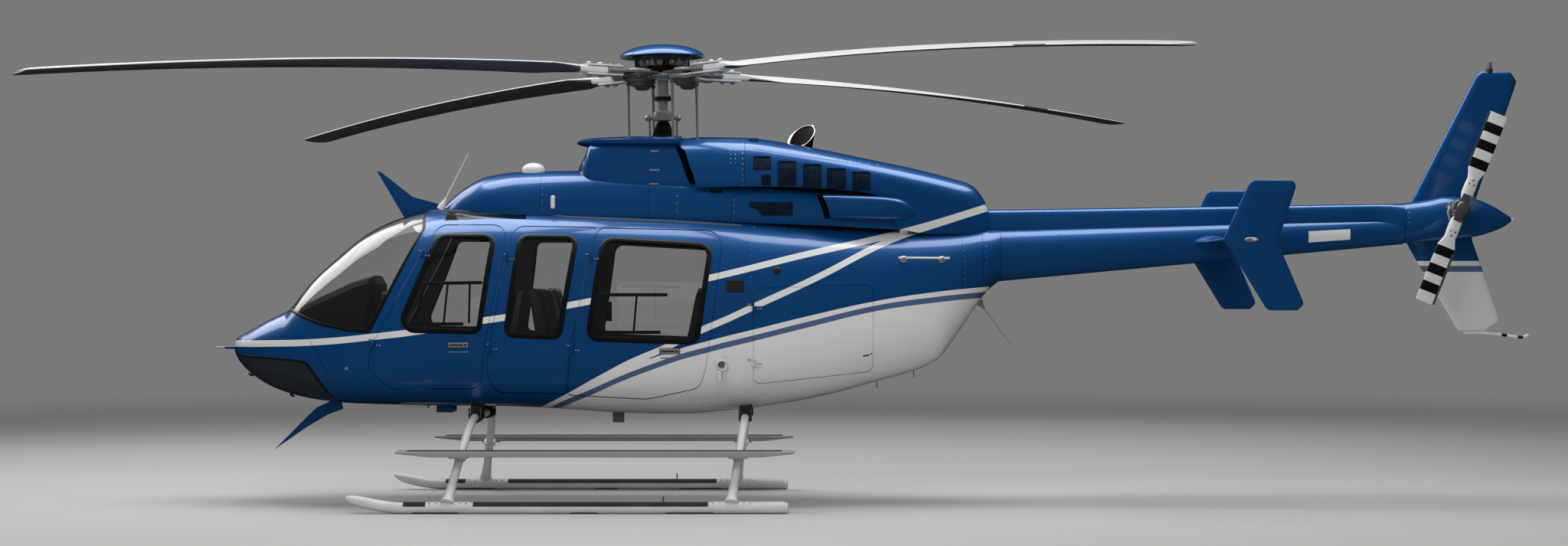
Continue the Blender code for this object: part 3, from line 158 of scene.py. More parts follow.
make_world()
make_floor()
for name, (place, aim, width, depth, power, mirrored) in LAMPS.items():
    data = bpy.data.lights.new(name, "AREA")
    data.shape, data.size, data.size_y, data.energy = "RECTANGLE", width, depth, power
    lamp = bpy.data.objects.new(name, data)
    lamp.location = place
    lamp.rotation_mode = "QUATERNION"
    lamp.rotation_quaternion = (Vector(aim) - Vector(place)).to_track_quat("-Z", "Y")
    lamp.visible_glossy = lamp.visible_transmission = mirrored
    SCENE.collection.objects.link(lamp)
print("lamps:", len(LAMPS))

# %% [markdown]
# ## Paint with its lines
# The skin wears a two-stage metallic enamel: a blue base coat with fine aluminium flake, then clear
# lacquer that gives the sharp second highlight. The lines are masked off and sprayed in plain white
# and grey-blue. They could be an image on the skin, but here each edge is a curve of height against
# length, read in the object's own coordinates, so the lines stay sharp and cross every door gap.


# %% Blue metallic enamel with white and grey lines
LENGTH_FROM, LENGTH_SPAN, HEIGHT_SPAN = -5.1, 6.4, 4.0
# half heights of the upper line, of the line that sweeps up and of the grey band
LINE_HALF, SWEEP_HALF, BAND_HALF = 0.0253, 0.0272, 0.0225
# where the sweep starts, where the belly's edge takes over from it, and where all lines end
SWEEP_FROM, SWEEP_TO, BELLY_FROM, LINES_TO = -2.52, -1.53, -1.56, 1.157
FLAKE = 0.45  # share of the base coat that is metal flake
LINE_GREY = "#4a668c"
UPPER_LINE = [
    (-4.93, 1.270), (-4.593, 1.275), (-4.109, 1.292), (-3.635, 1.338), (-3.339, 1.374), (-2.824, 1.459),
    (-2.628, 1.488), (-2.187, 1.573), (-1.967, 1.614), (-1.084, 1.787), (-0.329, 1.972), (0.471, 2.161), (1.148, 2.366),
]
SWEEP_TOP = [
    (-2.511, 0.720), (-2.195, 0.880), (-1.899, 1.044), (-1.670, 1.163), (-1.436, 1.262), (-1.149, 1.402),
    (-0.926, 1.498), (-0.712, 1.598), (-0.231, 1.820), (0.314, 2.100), (0.471, 2.164), (0.741, 2.253), (1.2, 2.40),
]
BELLY_TOP = [
    (-1.557, 1.150), (-1.446, 1.190), (-1.293, 1.241), (-1.085, 1.298), (-0.896, 1.347), (-0.717, 1.390),
    (-0.315, 1.489), (0.247, 1.612), (0.700, 1.680), (1.150, 1.725),
]
BAND_TOP = [
    (-2.439, 0.720), (-2.205, 0.832), (-1.983, 0.926), (-1.750, 1.030), (-1.491, 1.129), (-1.293, 1.198),
    (-1.085, 1.254), (-0.945, 1.290), (-0.717, 1.345), (-0.315, 1.446), (0.247, 1.578), (0.700, 1.642), (1.150, 1.685),
]


def height_of_line(tree, along, points):
    """The height of a painted edge at each place along the fuselage, as a curve node."""
    share = add(tree, "MapRange", Value=along, From_Min=LENGTH_FROM, From_Max=LENGTH_FROM + LENGTH_SPAN)
    edge = add(tree, "FloatCurve", Value=share)
    mapping = edge.node.mapping
    line = mapping.curves[0]
    for x, z in points:
        line.points.new((x - LENGTH_FROM) / LENGTH_SPAN, z / HEIGHT_SPAN)
    # a new curve has a point at each end, and both are in the way
    while line.points[0].location.x < 0.001 and len(line.points) > len(points):
        line.points.remove(line.points[0])
    while line.points[-1].location.x > 0.999 and len(line.points) > len(points):
        line.points.remove(line.points[-1])
    mapping.update()
    return add(tree, "Math", edge, HEIGHT_SPAN, operation="MULTIPLY")


def painted_lines(tree, where, base):
    """The lines laid over a base colour, and how metallic the paint is at each place."""
    axes = add(tree, "SeparateXYZ", where).node.outputs
    along, height = axes[0], axes[2]
    edges = (UPPER_LINE, SWEEP_TOP, BELLY_TOP, BAND_TOP)
    upper, sweep, belly, band = [height_of_line(tree, along, edge) for edge in edges]
    sweep_middle = add(tree, "Math", sweep, 0.027, operation="SUBTRACT")
    band_middle = add(tree, "Math", band, BAND_HALF, operation="SUBTRACT")
    upper_line = add(tree, "Math", height, upper, LINE_HALF, operation="COMPARE")
    sweep_line = add(tree, "Math", height, sweep_middle, SWEEP_HALF, operation="COMPARE")
    grey = add(tree, "Math", height, band_middle, BAND_HALF, operation="COMPARE")
    under_sweep = add(tree, "Math", height, sweep, operation="LESS_THAN")
    under_belly = add(tree, "Math", height, belly, operation="LESS_THAN")
    after_start = add(tree, "Math", along, SWEEP_FROM, operation="GREATER_THAN")
    before_belly = add(tree, "Math", along, SWEEP_TO, operation="LESS_THAN")
    after_belly = add(tree, "Math", along, BELLY_FROM, operation="GREATER_THAN")
    before_end = add(tree, "Math", along, LINES_TO, operation="LESS_THAN")
    under_sweep = add(tree, "Math", under_sweep, before_belly, operation="MULTIPLY")
    under_sweep = add(tree, "Math", under_sweep, after_start, operation="MULTIPLY")
    under_belly = add(tree, "Math", under_belly, after_belly, operation="MULTIPLY")
    white = upper_line
    for other in (sweep_line, under_sweep, under_belly):
        white = add(tree, "Math", white, other, operation="MAXIMUM")
    white = add(tree, "Math", white, before_end, operation="MULTIPLY")
    grey = add(tree, "Math", grey, after_start, operation="MULTIPLY")
    grey = add(tree, "Math", grey, before_end, operation="MULTIPLY")
    dust = add(tree, "TexNoise", Vector=where, Scale=2.2, Detail=5.0)
    chalk = add(tree, "Mix", dust, i6="#dadad9", i7="#e8e8e7", **RGBA)
    colour = add(tree, "Mix", white, i6=base, i7=chalk, **RGBA)
    colour = add(tree, "Mix", grey, i6=colour, i7=LINE_GREY, **RGBA)
    covered = add(tree, "Math", white, grey, operation="MAXIMUM")
    return colour, add(tree, "Math", covered, -FLAKE, FLAKE, operation="MULTIPLY_ADD")


def blue_enamel(name, lined=False):
    """Base coat under lacquer; the flake is drawn as 2 mm spots, far coarser than the real 0.05 mm, in a lighter blue
    that is a painted glint.
    """
    material, tree, shader = finish_of(
        name, Metallic=FLAKE, Roughness=0.40, IOR=1.5, Coat_Weight=1.0, Coat_Roughness=0.12)
    where = add(tree, "TexCoord", out="Object")
    cloud = add(tree, "TexNoise", Vector=where, Scale=1.3, Detail=2.0)
    blue = add(tree, "Mix", cloud, i6="#034886", i7="#05569a", **RGBA)
    # the flakes as random spots of lighter blue: the flake is real, its glint is painted in
    spots = add(tree, "SeparateColor", add(tree, "TexVoronoi", Vector=where, Scale=500.0, out="Color"))
    painted_flake_glint = add(tree, "Math", spots, 0.10, operation="MULTIPLY")
    colour = add(tree, "Mix", painted_flake_glint, i6=blue, i7="#3f8cd6", **RGBA)
    if lined:
        colour, metal = painted_lines(tree, where, colour)
        feed(shader, Metallic=metal)
    wave = add(tree, "TexNoise", Vector=where, Scale=3.0, Detail=1.0)
    peel = add(tree, "TexNoise", Vector=where, Scale=260.0, Detail=2.0)
    relief = add(tree, "Math", peel, 0.004, wave, operation="MULTIPLY_ADD")
    feed(shader, Base_Color=colour, Normal=add(tree, "Bump", Strength=0.10, Distance=0.010, Height=relief))
    return material


LINED_BLUE = blue_enamel("blue_enamel_with_lines", True)
PLAIN_BLUE = blue_enamel("blue_enamel")
print("painted edges:", 4, "nodes in the lined paint:", len(LINED_BLUE.node_tree.nodes))

# %% [markdown]
# ## Other finishes
# Each is named for the real material and for how its surface was made; the black of the ducts is
# named for the painted shade it stands for. Grain and scratches are worked from their real size;
# where that is finer than a pixel it is drawn as coarse as it shows.


# %% Acrylic, rubber, plastic and cloth
WAVE = 320  # a wave texture of scale 1 repeats about every so many millimetres


def plain_finish(name, dark, light, grain, roughness, metallic=0.0, relief=0.0004, spread=0.08, **sockets):
    """A finish whose colour and gloss vary over a grain of so many millimetres."""
    material, tree, shader = finish_of(name, Metallic=metallic, **sockets)
    where = add(tree, "TexCoord", out="Object")
    fine = add(tree, "TexNoise", Vector=where, Scale=1000 / grain, Detail=4.0)
    broad = add(tree, "TexNoise", Vector=where, Scale=7.0, Detail=3.0)
    mixed = add(tree, "Math", broad, 0.6, add(tree, "Math", fine, 0.4, operation="MULTIPLY"), operation="MULTIPLY_ADD")
    feed(
        shader,
        Base_Color=add(tree, "Mix", mixed, i6=dark, i7=light, **RGBA),
        Roughness=add(tree, "MapRange", Value=fine, To_Min=roughness - spread, To_Max=roughness + spread),
        Normal=add(tree, "Bump", Strength=0.3, Distance=relief, Height=fine),
    )
    return material


def acrylic(name, tint, clear, roughness, through):
    """Cast acrylic sheet, IOR 1.49, with the faint ripple of a sheet that was blown to its curve."""
    material, tree, shader = finish_of(name, Roughness=roughness, IOR=1.49, Transmission_Weight=through)
    where = add(tree, "TexCoord", out="Object")
    haze = add(tree, "TexNoise", Vector=where, Scale=1.2, Detail=3.0)
    ripple = add(tree, "TexNoise", Vector=where, Scale=2.0, Detail=0.0)
    colour = add(tree, "Mix", haze, i6=tint, i7=clear, **RGBA)
    feed(shader, Base_Color=colour, Normal=add(tree, "Bump", Strength=0.05, Distance=0.004, Height=ripple))
    return material


def webbing():
    """Nylon webbing for the piping: a diagonal weave of 4 mm, twice the real size so that it shows."""
    material, tree, shader = finish_of("woven_nylon_belt", Roughness=0.7, Sheen_Weight=0.3)
    where = add(tree, "TexCoord", out="Object")
    weave = add(tree, "TexWave", Vector=where, Scale=WAVE / 4, Distortion=0.4, out=1, bands_direction="DIAGONAL")
    colour = add(tree, "Mix", weave, i6="#0c0c0d", i7="#29292b", **RGBA)
    feed(shader, Base_Color=colour, Normal=add(tree, "Bump", Strength=0.5, Distance=0.0006, Height=weave))
    return material


def seat_cloth():
    """Wool seat cloth: crossing 10 mm ribs, coarser than the real 2 mm so that they show."""
    material, tree, shader = finish_of("woven_wool_cloth", Roughness=0.9, Sheen_Weight=0.4)
    where = add(tree, "TexCoord", out="Object")
    settings = {"Vector": where, "Scale": WAVE / 10, "Distortion": 1.0, "out": 1}
    ribs = [add(tree, "TexWave", bands_direction=way, **settings) for way in "YZ"]
    weave = add(tree, "Math", *ribs, operation="MAXIMUM")
    worn = add(tree, "TexNoise", Vector=where, Scale=6.0, Detail=4.0)
    base = add(tree, "Mix", worn, i6="#2c2d30", i7="#3f4145", **RGBA)
    colour = add(tree, "Mix", weave, i6="#1d1e20", i7=base, **RGBA)
    feed(shader, Base_Color=colour, Normal=add(tree, "Bump", Strength=0.5, Distance=0.0012, Height=weave))
    return material


GLASS = acrylic("blown_clear_acrylic", "#f4f7f7", "#ffffff", 0.0, 1.0)
CHIN_GLASS = acrylic("blown_smoked_acrylic", "#33373c", "#4b5056", 0.08, 0.6)
RUBBER = plain_finish("extruded_black_rubber", "#0b0c0d", "#191a1c", 2.0, 0.42, spread=0.12)
NYLON = plain_finish("moulded_black_nylon", "#0d0d0e", "#1e1f20", 1.2, 0.38)
GLARE = plain_finish("matt_black_glare_cloth", "#020303", "#08090a", 2.5, 0.75)
TRIM = plain_finish("moulded_grey_trim", "#26282a", "#36383a", 1.5, 0.6)
LINING = plain_finish("padded_roof_lining", "#4a4c4e", "#5d5f60", 3.0, 0.8)
FLOORING = plain_finish("ribbed_floor_mat", "#1b1c1d", "#2b2c2e", 4.0, 0.75, relief=0.001)
# painted shade: flat black that stands for the shade inside the intake slot, the scoops and the mast well
PAINTED_SHADE_BLACK = plain_finish("black_painted_shade_in_ducts", "#050505", "#0e0e0f", 3.0, 0.8)
SOOT = plain_finish("sooted_steel_inside", "#2a2522", "#504841", 12.0, 0.6, metallic=0.3)
DARK_METAL = plain_finish("black_anodised_aluminium", "#232323", "#3d3d3b", 3.0, 0.45, metallic=0.4)
ALUMINIUM = plain_finish("machined_aluminium", "#a5a6a6", "#c9c9c8", 2.5, 0.42, metallic=0.75)
STEEL = plain_finish("polished_stainless_steel", "#b4b5b5", "#dcdcdc", 1.5, 0.36, metallic=0.7)
DULL_STEEL = plain_finish("plated_steel", "#4c4b48", "#83817c", 9.0, 0.40, metallic=0.6)
CLOTH, WEBBING = seat_cloth(), webbing()
WHITE = plain_finish("white_gloss_enamel", "#c6c7c6", "#dcdcdb", 3.0, 0.32, relief=0.0002, Coat_Weight=0.5)
print("finishes:", len(bpy.data.materials))

# %% [markdown]
# ## Smooth skins from sections
# The real skin is bonded honeycomb and fibreglass, laid up in smooth moulds. The model's solids are
# faceted, so the same sections are drawn again here with a monotone cubic curve between them, which
# never bulges past a section. Each ring is a superellipse with its own squareness above and below
# the widest point.

# %% Sections of the fuselage
# station, low, high, half width, height of the widest point, exponents below and above
FUSELAGE = [
    # x      low    high   width  wide   below above
    (-4.911, 1.225, 1.285, 0.030, 1.255, 2.0, 2.0),
    (-4.890, 1.165, 1.310, 0.100, 1.245, 2.0, 2.0),
    (-4.780, 1.035, 1.375, 0.255, 1.235, 2.1, 2.0),
    (-4.620, 0.930, 1.462, 0.400, 1.225, 2.2, 2.1),
    (-4.440, 0.862, 1.548, 0.500, 1.220, 2.4, 2.2),
    (-4.280, 0.825, 1.765, 0.565, 1.220, 2.6, 2.1),
    (-4.060, 0.798, 1.972, 0.625, 1.225, 2.8, 2.1),
    (-3.840, 0.788, 2.148, 0.665, 1.240, 3.0, 2.2),
    (-3.600, 0.782, 2.265, 0.695, 1.260, 3.2, 2.4),
    (-3.400, 0.778, 2.322, 0.712, 1.280, 3.4, 2.6),
    (-3.200, 0.775, 2.345, 0.724, 1.300, 3.4, 2.8),
    (-2.800, 0.772, 2.350, 0.735, 1.320, 3.4, 3.0),
    (-2.300, 0.752, 2.342, 0.738, 1.330, 3.2, 3.0),
    (-1.800, 0.718, 2.330, 0.738, 1.340, 3.0, 3.0),
    (-1.300, 0.706, 2.312, 0.735, 1.350, 2.8, 3.0),
    (-0.900, 0.738, 2.285, 0.720, 1.380, 2.6, 2.9),
    (-0.500, 0.788, 2.250, 0.690, 1.420, 2.5, 2.8),
    (-0.100, 0.866, 2.215, 0.635, 1.500, 2.4, 2.7),
    (0.260, 0.966, 2.195, 0.560, 1.580, 2.3, 2.6),
    (0.550, 1.048, 2.190, 0.490, 1.660, 2.2, 2.5),
    (0.750, 1.140, 2.190, 0.435, 1.720, 2.2, 2.4),
    (0.860, 1.275, 2.192, 0.395, 1.780, 2.1, 2.3),
    (1.000, 1.480, 2.195, 0.335, 1.860, 2.0, 2.2),
    (1.150, 1.690, 2.200, 0.270, 1.950, 2.0, 2.1),
    (1.243, 1.768, 2.206, 0.220, 1.987, 2.0, 2.0),
]
WINDSHIELD_BREAK = -4.44  # the hood meets the windshield here, with a crease in the profile


def eased(xs, ys, at):
    """A monotone cubic curve through the points."""
    gap = np.diff(xs)
    slope = np.diff(ys) / gap
    tangent = np.concatenate(([slope[0]], np.zeros(len(gap) - 1), [slope[-1]]))
    left, right = 2 * gap[1:] + gap[:-1], gap[1:] + 2 * gap[:-1]
    same = slope[:-1] * slope[1:] > 0
    harmonic = left / np.where(same, slope[:-1], 1) + right / np.where(same, slope[1:], 1)
    tangent[1:-1] = np.where(same, (left + right) / np.where(same, harmonic, 1), 0)
    k = np.clip(np.searchsorted(xs, at) - 1, 0, len(gap) - 1)
    t = np.clip((at - xs[k]) / gap[k], 0, 1)
    start = (1 + 2 * t) * (1 - t) ** 2 * ys[k] + t * (1 - t) ** 2 * gap[k] * tangent[k]
    return start + t * t * (3 - 2 * t) * ys[k + 1] + t * t * (t - 1) * gap[k] * tangent[k + 1]


def spaced(*spans):
    """Stations over one or more spans, each given as its ends and a count."""
    return np.unique(np.concatenate([np.linspace(*span) for span in spans]))


def rows_at(table, x):
    """Every column of a section table at the stations x."""
    rows = np.array(table)
    columns = [eased(rows[:, 0], rows[:, c], x) for c in range(1, 7)]
    split = np.flatnonzero(rows[:, 0] == WINDSHIELD_BREAK)
    if len(split):
        at = split[0]
        hood = eased(rows[: at + 1, 0], rows[: at + 1, 2], x)
        columns[1] = np.where(x < WINDSHIELD_BREAK, hood, eased(rows[at:, 0], rows[at:, 2], x))
    return columns


def skin_rings(table, stations, around=96, inset=0.0, drop=0.0):
    """Rings of points round a body, set in from its skin, with the underside let down by a drop."""
    x = np.asarray(stations, float)
    low, high, width, wide, below, above = (c[:, None] for c in rows_at(table, x))
    turn = 2 * np.pi * (np.arange(around) + 0.5) / around
    c, s = np.cos(turn)[None], np.sin(turn)[None]
    power = np.where(s > 0, above, below)
    reach = np.where(s > 0, high - inset - wide, wide - low - inset + drop)
    radius = ((np.abs(c) / (width - inset)) ** power + (np.abs(s) / reach) ** power) ** (-1 / power)
    return np.stack([np.broadcast_to(x[:, None], radius.shape), radius * c, wide + radius * s], -1)


def level(table, points):
    """1 on the skin of a body, less inside it and more outside."""
    low, high, width, wide, below, above = rows_at(table, points[:, 0])
    up = points[:, 2] > wide
    power = np.where(up, above, below)
    reach = np.where(up, high - wide, wide - low)
    return np.abs(points[:, 1] / width) ** power + np.abs((points[:, 2] - wide) / reach) ** power


def normals_at(table, points, step=0.0004):
    """Outward normals, from how the level changes over a short step each way."""
    slope = [level(table, points + way) - level(table, points - way) for way in np.eye(3) * step]
    slope = np.stack(slope, -1)
    return slope / np.maximum(np.linalg.norm(slope, axis=1), 1e-12)[:, None]


def side_at(table, x, z):
    """Half the width of a body at a station and a height; 0 above or below it."""
    x, z = np.atleast_1d(np.asarray(x, float)), np.atleast_1d(np.asarray(z, float))
    low, high, width, wide, below, above = rows_at(table, x)
    power = np.where(z > wide, above, below)
    reach = np.where(z > wide, high - wide, wide - low)
    share = np.clip(1 - np.abs((z - wide) / reach) ** power, 0, 1)
    return width * share ** (1 / power)


print("widest station:", max(row[3] for row in FUSELAGE), "m half width")


# %% Mesh makers
def add_rings(bm, rings, mat=0, caps=True, closed=False):
    """Quads through rings of equally many points."""
    rows = [[bm.verts.new(p) for p in ring] for ring in rings]
    count = len(rows[0])
    pairs = list(zip(rows, rows[1:] + rows[:1] if closed else rows[1:]))
    made = []
    for a, b in pairs:
        for k in range(count):
            after = (k + 1) % count
            made.append(bm.faces.new((a[k], a[after], b[after], b[k])))
    if caps and not closed:
        made += [bm.faces.new(rows[0][::-1]), bm.faces.new(rows[-1])]
    for face in made:
        face.material_index = mat
    return made


def mesh_from(bm):
    """The finished mesh of a bmesh, with its faces turned outwards."""
    bmesh.ops.recalc_face_normals(bm, faces=bm.faces)
    mesh = bpy.data.meshes.new("form")
    bm.to_mesh(mesh)
    bm.free()
    return mesh


def read(items, attribute, width=1, kind=float):
    """An attribute of every vertex, corner or face, as an array."""
    values = np.empty(len(items) * width, kind)
    items.foreach_get(attribute, values)
    return values.reshape(-1, width) if width > 1 else values


def form(rings):
    """A closed mesh through rings of points."""
    bm = bmesh.new()
    add_rings(bm, rings)
    return mesh_from(bm)


def carved(mesh, tools, operation="DIFFERENCE"):
    """The mesh with closed tools taken away, kept or added, each one in turn."""
    holder = bpy.data.objects.new("work", mesh)
    SCENE.collection.objects.link(holder)
    others = []
    for tool in tools:
        other = bpy.data.objects.new("tool", tool)
        SCENE.collection.objects.link(other)
        step = holder.modifiers.new("cut", "BOOLEAN")
        step.operation, step.object, step.solver = operation, other, "MANIFOLD"
        others.append(other)
    bpy.context.view_layer.update()
    made = bpy.data.meshes.new_from_object(holder.evaluated_get(bpy.context.evaluated_depsgraph_get()))
    for used in [holder, *others]:
        bpy.data.objects.remove(used)
    return made


def arcs(corners, steps=10):
    """A closed outline whose corners (x, z, radius) are rounded."""
    points = []
    for k, corner in enumerate(corners):
        here = Vector(corner[:2])
        back = (Vector(corners[k - 1][:2]) - here).normalized()
        ahead = (Vector(corners[(k + 1) % len(corners)][:2]) - here).normalized()
        half = back.angle(ahead) / 2
        reach = corner[2] / tan(half)
        if reach < 0.004 or degrees(half) > 86:  # too slight to round
            points.append(tuple(here))
            continue
        centre = here + (back + ahead).normalized() * (corner[2] / sin(half))
        start = here + back * reach - centre
        sweep = start.angle_signed(here + ahead * reach - centre)
        points += [tuple(centre + Matrix.Rotation(-sweep * s / steps, 2) @ start) for s in range(steps + 1)]
    return points


def grown(outline, by):
    """The outline moved out along its own normals."""
    turning = sum(a[0] * b[1] - b[0] * a[1] for a, b in zip(outline, outline[1:] + outline[:1]))
    sense = 1 if turning < 0 else -1
    moved = []
    for k, point in enumerate(outline):
        along = Vector(outline[(k + 1) % len(outline)]) - Vector(outline[k - 1])
        normal = Vector((-along.y, along.x)).normalized() * sense
        moved.append(tuple(Vector(point) + normal * by))
    return moved


def slab(outline, near, far):
    """An outline in side view made solid between two widths."""
    return form([[(x, y, z) for x, z in outline] for y in (near, far)])


def place_mesh(name, mesh, materials, replaces=(), body="airframe", crease=30, table=None):
    """The finished piece: smooth shading, exact normals where a section table is given, and its ride."""
    mesh.name = name
    kinds = read(mesh.polygons, "material_index", 1, int)
    mesh.materials.clear()
    for material in materials:
        mesh.materials.append(material)
    mesh.polygons.foreach_set("material_index", np.minimum(kinds, len(materials) - 1))
    mesh.shade_smooth()
    mesh.set_sharp_from_angle(angle=radians(crease))
    if table:
        polish(mesh, table, len(materials) > 1)
    made = bpy.data.objects.new(name, mesh)
    SCENE.collection.objects.link(made)
    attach(made, body)
    if replaces:
        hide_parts(*replaces)
    return made


FOLLOWS_SKIN = 0.96  # cosine: a face that leans further from the section's normal is an edge


def polish(mesh, table, lined):
    """Exact section normals on faces that follow the skin; faces that look inwards take finish 1."""
    corner_vertex = read(mesh.loops, "vertex_index", 1, int)
    exact = normals_at(table, read(mesh.vertices, "co", 3))[corner_vertex]
    starts = read(mesh.polygons, "loop_start", 1, int)
    totals = read(mesh.polygons, "loop_total", 1, int)
    face_of_corner = np.repeat(np.arange(len(totals)), totals)
    along = np.einsum("ij,ij->i", exact, read(mesh.polygons, "normal", 3)[face_of_corner])
    on_skin = np.minimum.reduceat(np.abs(along), starts) > FOLLOWS_SKIN
    facing = np.sign(np.add.reduceat(along, starts))
    corners = read(mesh.corner_normals, "vector", 3)
    use = on_skin[face_of_corner]
    corners[use] = (exact * facing[face_of_corner][:, None])[use]
    if lined:
        mesh.polygons.foreach_set("material_index", (on_skin & (facing < 0)).astype(int))
    mesh.normals_split_custom_set([tuple(n) for n in corners])


print("mesh makers are ready")

# %% [markdown]
# ## Skin, doors and windows
# Outer and inner forms make one shell, 25 mm thick as the real door or wall is. Each door leaf is
# the part of that shell inside its own outline, and the fuselage is what is left round a gap of 8 mm.
# The leaf therefore continues the curve of the skin exactly, and the lines run on across the gap.

# %% Outlines of doors and windows
# x, z and corner radius, clockwise from the top at the front
CREW_DOOR = [
    (-3.190, 2.205, 0.10), (-2.655, 2.205, 0.10), (-2.715, 1.800, 0.60), (-2.815, 1.280, 0.60),
    (-2.850, 0.930, 0.10), (-3.560, 0.930, 0.10), (-3.735, 1.080, 0.12), (-3.690, 1.270, 0.20),
]
CREW_WINDOW = [(-3.190, 2.125, 0.08), (-2.752, 2.125, 0.07), (-2.860, 1.372, 0.06), (-3.490, 1.385, 0.09)]
LITTER_DOOR = [
    (-2.600, 2.195, 0.10), (-1.955, 2.185, 0.03), (-2.020, 1.900, 0.60), (-2.155, 1.220, 0.60),
    (-2.190, 0.890, 0.02), (-2.740, 0.900, 0.10), (-2.800, 1.100, 0.20), (-2.700, 1.660, 1.00),
]
LITTER_WINDOW = [(-2.545, 2.120, 0.07), (-2.105, 2.115, 0.07), (-2.235, 1.330, 0.06), (-2.650, 1.345, 0.06)]
PASSENGER_DOOR = [
    (-1.938, 2.180, 0.06), (-0.965, 2.160, 0.13), (-1.000, 1.800, 0.60), (-1.100, 1.080, 0.30),
    (-1.150, 0.935, 0.10), (-1.560, 0.845, 0.40), (-2.172, 0.880, 0.02), (-2.137, 1.220, 0.60),
    (-2.002, 1.900, 0.60),
]
PASSENGER_WINDOW = [(-1.895, 2.100, 0.09), (-1.055, 2.050, 0.09), (-1.165, 1.290, 0.07), (-2.010, 1.318, 0.07)]
BAGGAGE_DOOR = [(-0.720, 1.705, 0.05), (0.210, 1.735, 0.05), (0.210, 1.060, 0.05), (-0.720, 0.965, 0.05)]
WINDSHIELD = [
    (-4.442, 1.560, 0.01), (-4.150, 1.440, 0.30), (-3.900, 1.385, 0.30), (-3.720, 1.372, 0.03),
    (-3.318, 2.185, 0.06), (-3.380, 2.480, 0.01), (-4.700, 2.480, 0.01), (-4.560, 1.700, 0.01),
]
CHIN_WINDOW = [
    (-4.850, 1.180, 0.02), (-4.215, 1.138, 0.08), (-4.040, 0.850, 0.02),
    (-4.060, 0.700, 0.01), (-4.700, 0.700, 0.01), (-4.860, 1.120, 0.02),
]
KEEL_HALF, DOOR_GAP, PLAY = 0.045, 0.008, 0.0005  # the play is left round each pane
ROOF_WINDOW = ((-3.16, -0.46, 2.1), (-2.52, 0.46, 2.6))
# name: outline, window, side
DOORS = {
    "crew_door_left": (CREW_DOOR, CREW_WINDOW, -1),
    "litter_door_left": (LITTER_DOOR, LITTER_WINDOW, -1),
    "passenger_door_left": (PASSENGER_DOOR, PASSENGER_WINDOW, -1),
    "crew_door_right": (CREW_DOOR, CREW_WINDOW, 1),
    "passenger_door_right": (PASSENGER_DOOR, PASSENGER_WINDOW, 1),
    "baggage_door_left": (BAGGAGE_DOOR, None, -1),
}
print("outlines:", len(DOORS) + 2)

# %% Shell and panes
SKIN, GLASS_IN, GLASS_THICK = 0.025, 0.005, 0.006
stations = np.unique(np.concatenate([
    -4.911 + 0.55 * np.linspace(0, 1, 22) ** 2,
    np.linspace(-4.36, 1.243, 92),
    [WINDSHIELD_BREAK],
]))
outer_form = form(skin_rings(FUSELAGE, stations, 112))
inner_stations = stations[stations > -4.86]
inner_form = form(skin_rings(FUSELAGE, np.append(inner_stations[:-1], 1.23), 112, SKIN))
SHELL = carved(outer_form, [inner_form])
pane_stations = stations[(stations > -4.9) & (stations < -0.2)]
pane_outer = form(skin_rings(FUSELAGE, pane_stations, 112, GLASS_IN))
pane_inner = form(skin_rings(FUSELAGE, pane_stations[1:-1], 112, GLASS_IN + GLASS_THICK))
PANES = carved(pane_outer, [pane_inner])
print("shell faces:", len(SHELL.polygons), "pane faces:", len(PANES.polygons))


def wall_slab(outline, side):
    return slab(outline, side * 0.22, side * 1.2)


# %% Doors and their windows
door_holes = []
for name, (outline, window, side) in DOORS.items():
    line = arcs(outline)
    leaf = carved(SHELL.copy(), [wall_slab(line, side)], "INTERSECT")
    if window:
        opening = arcs(window)
        leaf = carved(leaf, [wall_slab(opening, side)])
        pane = carved(PANES.copy(), [wall_slab(grown(opening, -PLAY), side)], "INTERSECT")
        pane_name = name.replace("door", "window")
        place_mesh(f"{pane_name}_pane", pane, [GLASS], [pane_name], f"{name}_body", table=FUSELAGE)
    place_mesh(f"{name}_leaf", leaf, [LINED_BLUE, TRIM], [name], f"{name}_body", table=FUSELAGE)
    door_holes.append(wall_slab(grown(line, DOOR_GAP), side))
print("doors:", len(DOORS))

# %% Fuselage skin with its fixed windows
shield, chin, small = arcs(WINDSHIELD), arcs(CHIN_WINDOW), arcs(LITTER_WINDOW)


def roof_box(inset):
    low, high = Vector(ROOF_WINDOW[0]) + Vector((inset,) * 3), Vector(ROOF_WINDOW[1]) - Vector((inset,) * 3)
    return slab([(low.x, low.z), (low.x, high.z), (high.x, high.z), (high.x, low.z)], low.y, high.y)


def chin_slab(side, play):
    return slab(grown(chin, -play) if play else chin, side * (KEEL_HALF + play), side)


fixed_windows = {
    # name: tool for the opening, tool for the pane with its play, glass
    "windshield": (slab(shield, -1, 1), slab(grown(shield, -PLAY), -1, 1), GLASS),
    "chin_window_left": (chin_slab(-1, 0), chin_slab(-1, PLAY), CHIN_GLASS),
    "chin_window_right": (chin_slab(1, 0), chin_slab(1, PLAY), CHIN_GLASS),
    "roof_window": (roof_box(0), roof_box(PLAY), GLASS),
    "side_window_right": (wall_slab(small, 1), wall_slab(grown(small, -PLAY), 1), GLASS),
}
fuselage = carved(SHELL.copy(), door_holes)
for name, (hole, inside, glass) in fixed_windows.items():
    fuselage = carved(fuselage, [hole])
    pane = carved(PANES.copy(), [inside], "INTERSECT")
    place_mesh(f"{name}_pane", pane, [glass], [name], table=FUSELAGE)
fuselage_nodes = ["nose_shell", "belly_tub", "cabin_roof", "door_post_left", "side_panel_right", "aft_fuselage"]
place_mesh("fuselage_skin", fuselage, [LINED_BLUE, LINING], fuselage_nodes, table=FUSELAGE)
print("fuselage faces:", len(fuselage.polygons))

# %% [markdown]
# ## Sweeps, turnings and blocks
# Most fittings are one of four things: a bar swept along a path, a profile turned about an axis, a
# block with eased edges, or a small domed button. Each maker adds its faces to one shared mesh, so
# a whole group of fittings becomes one piece with a few finishes.


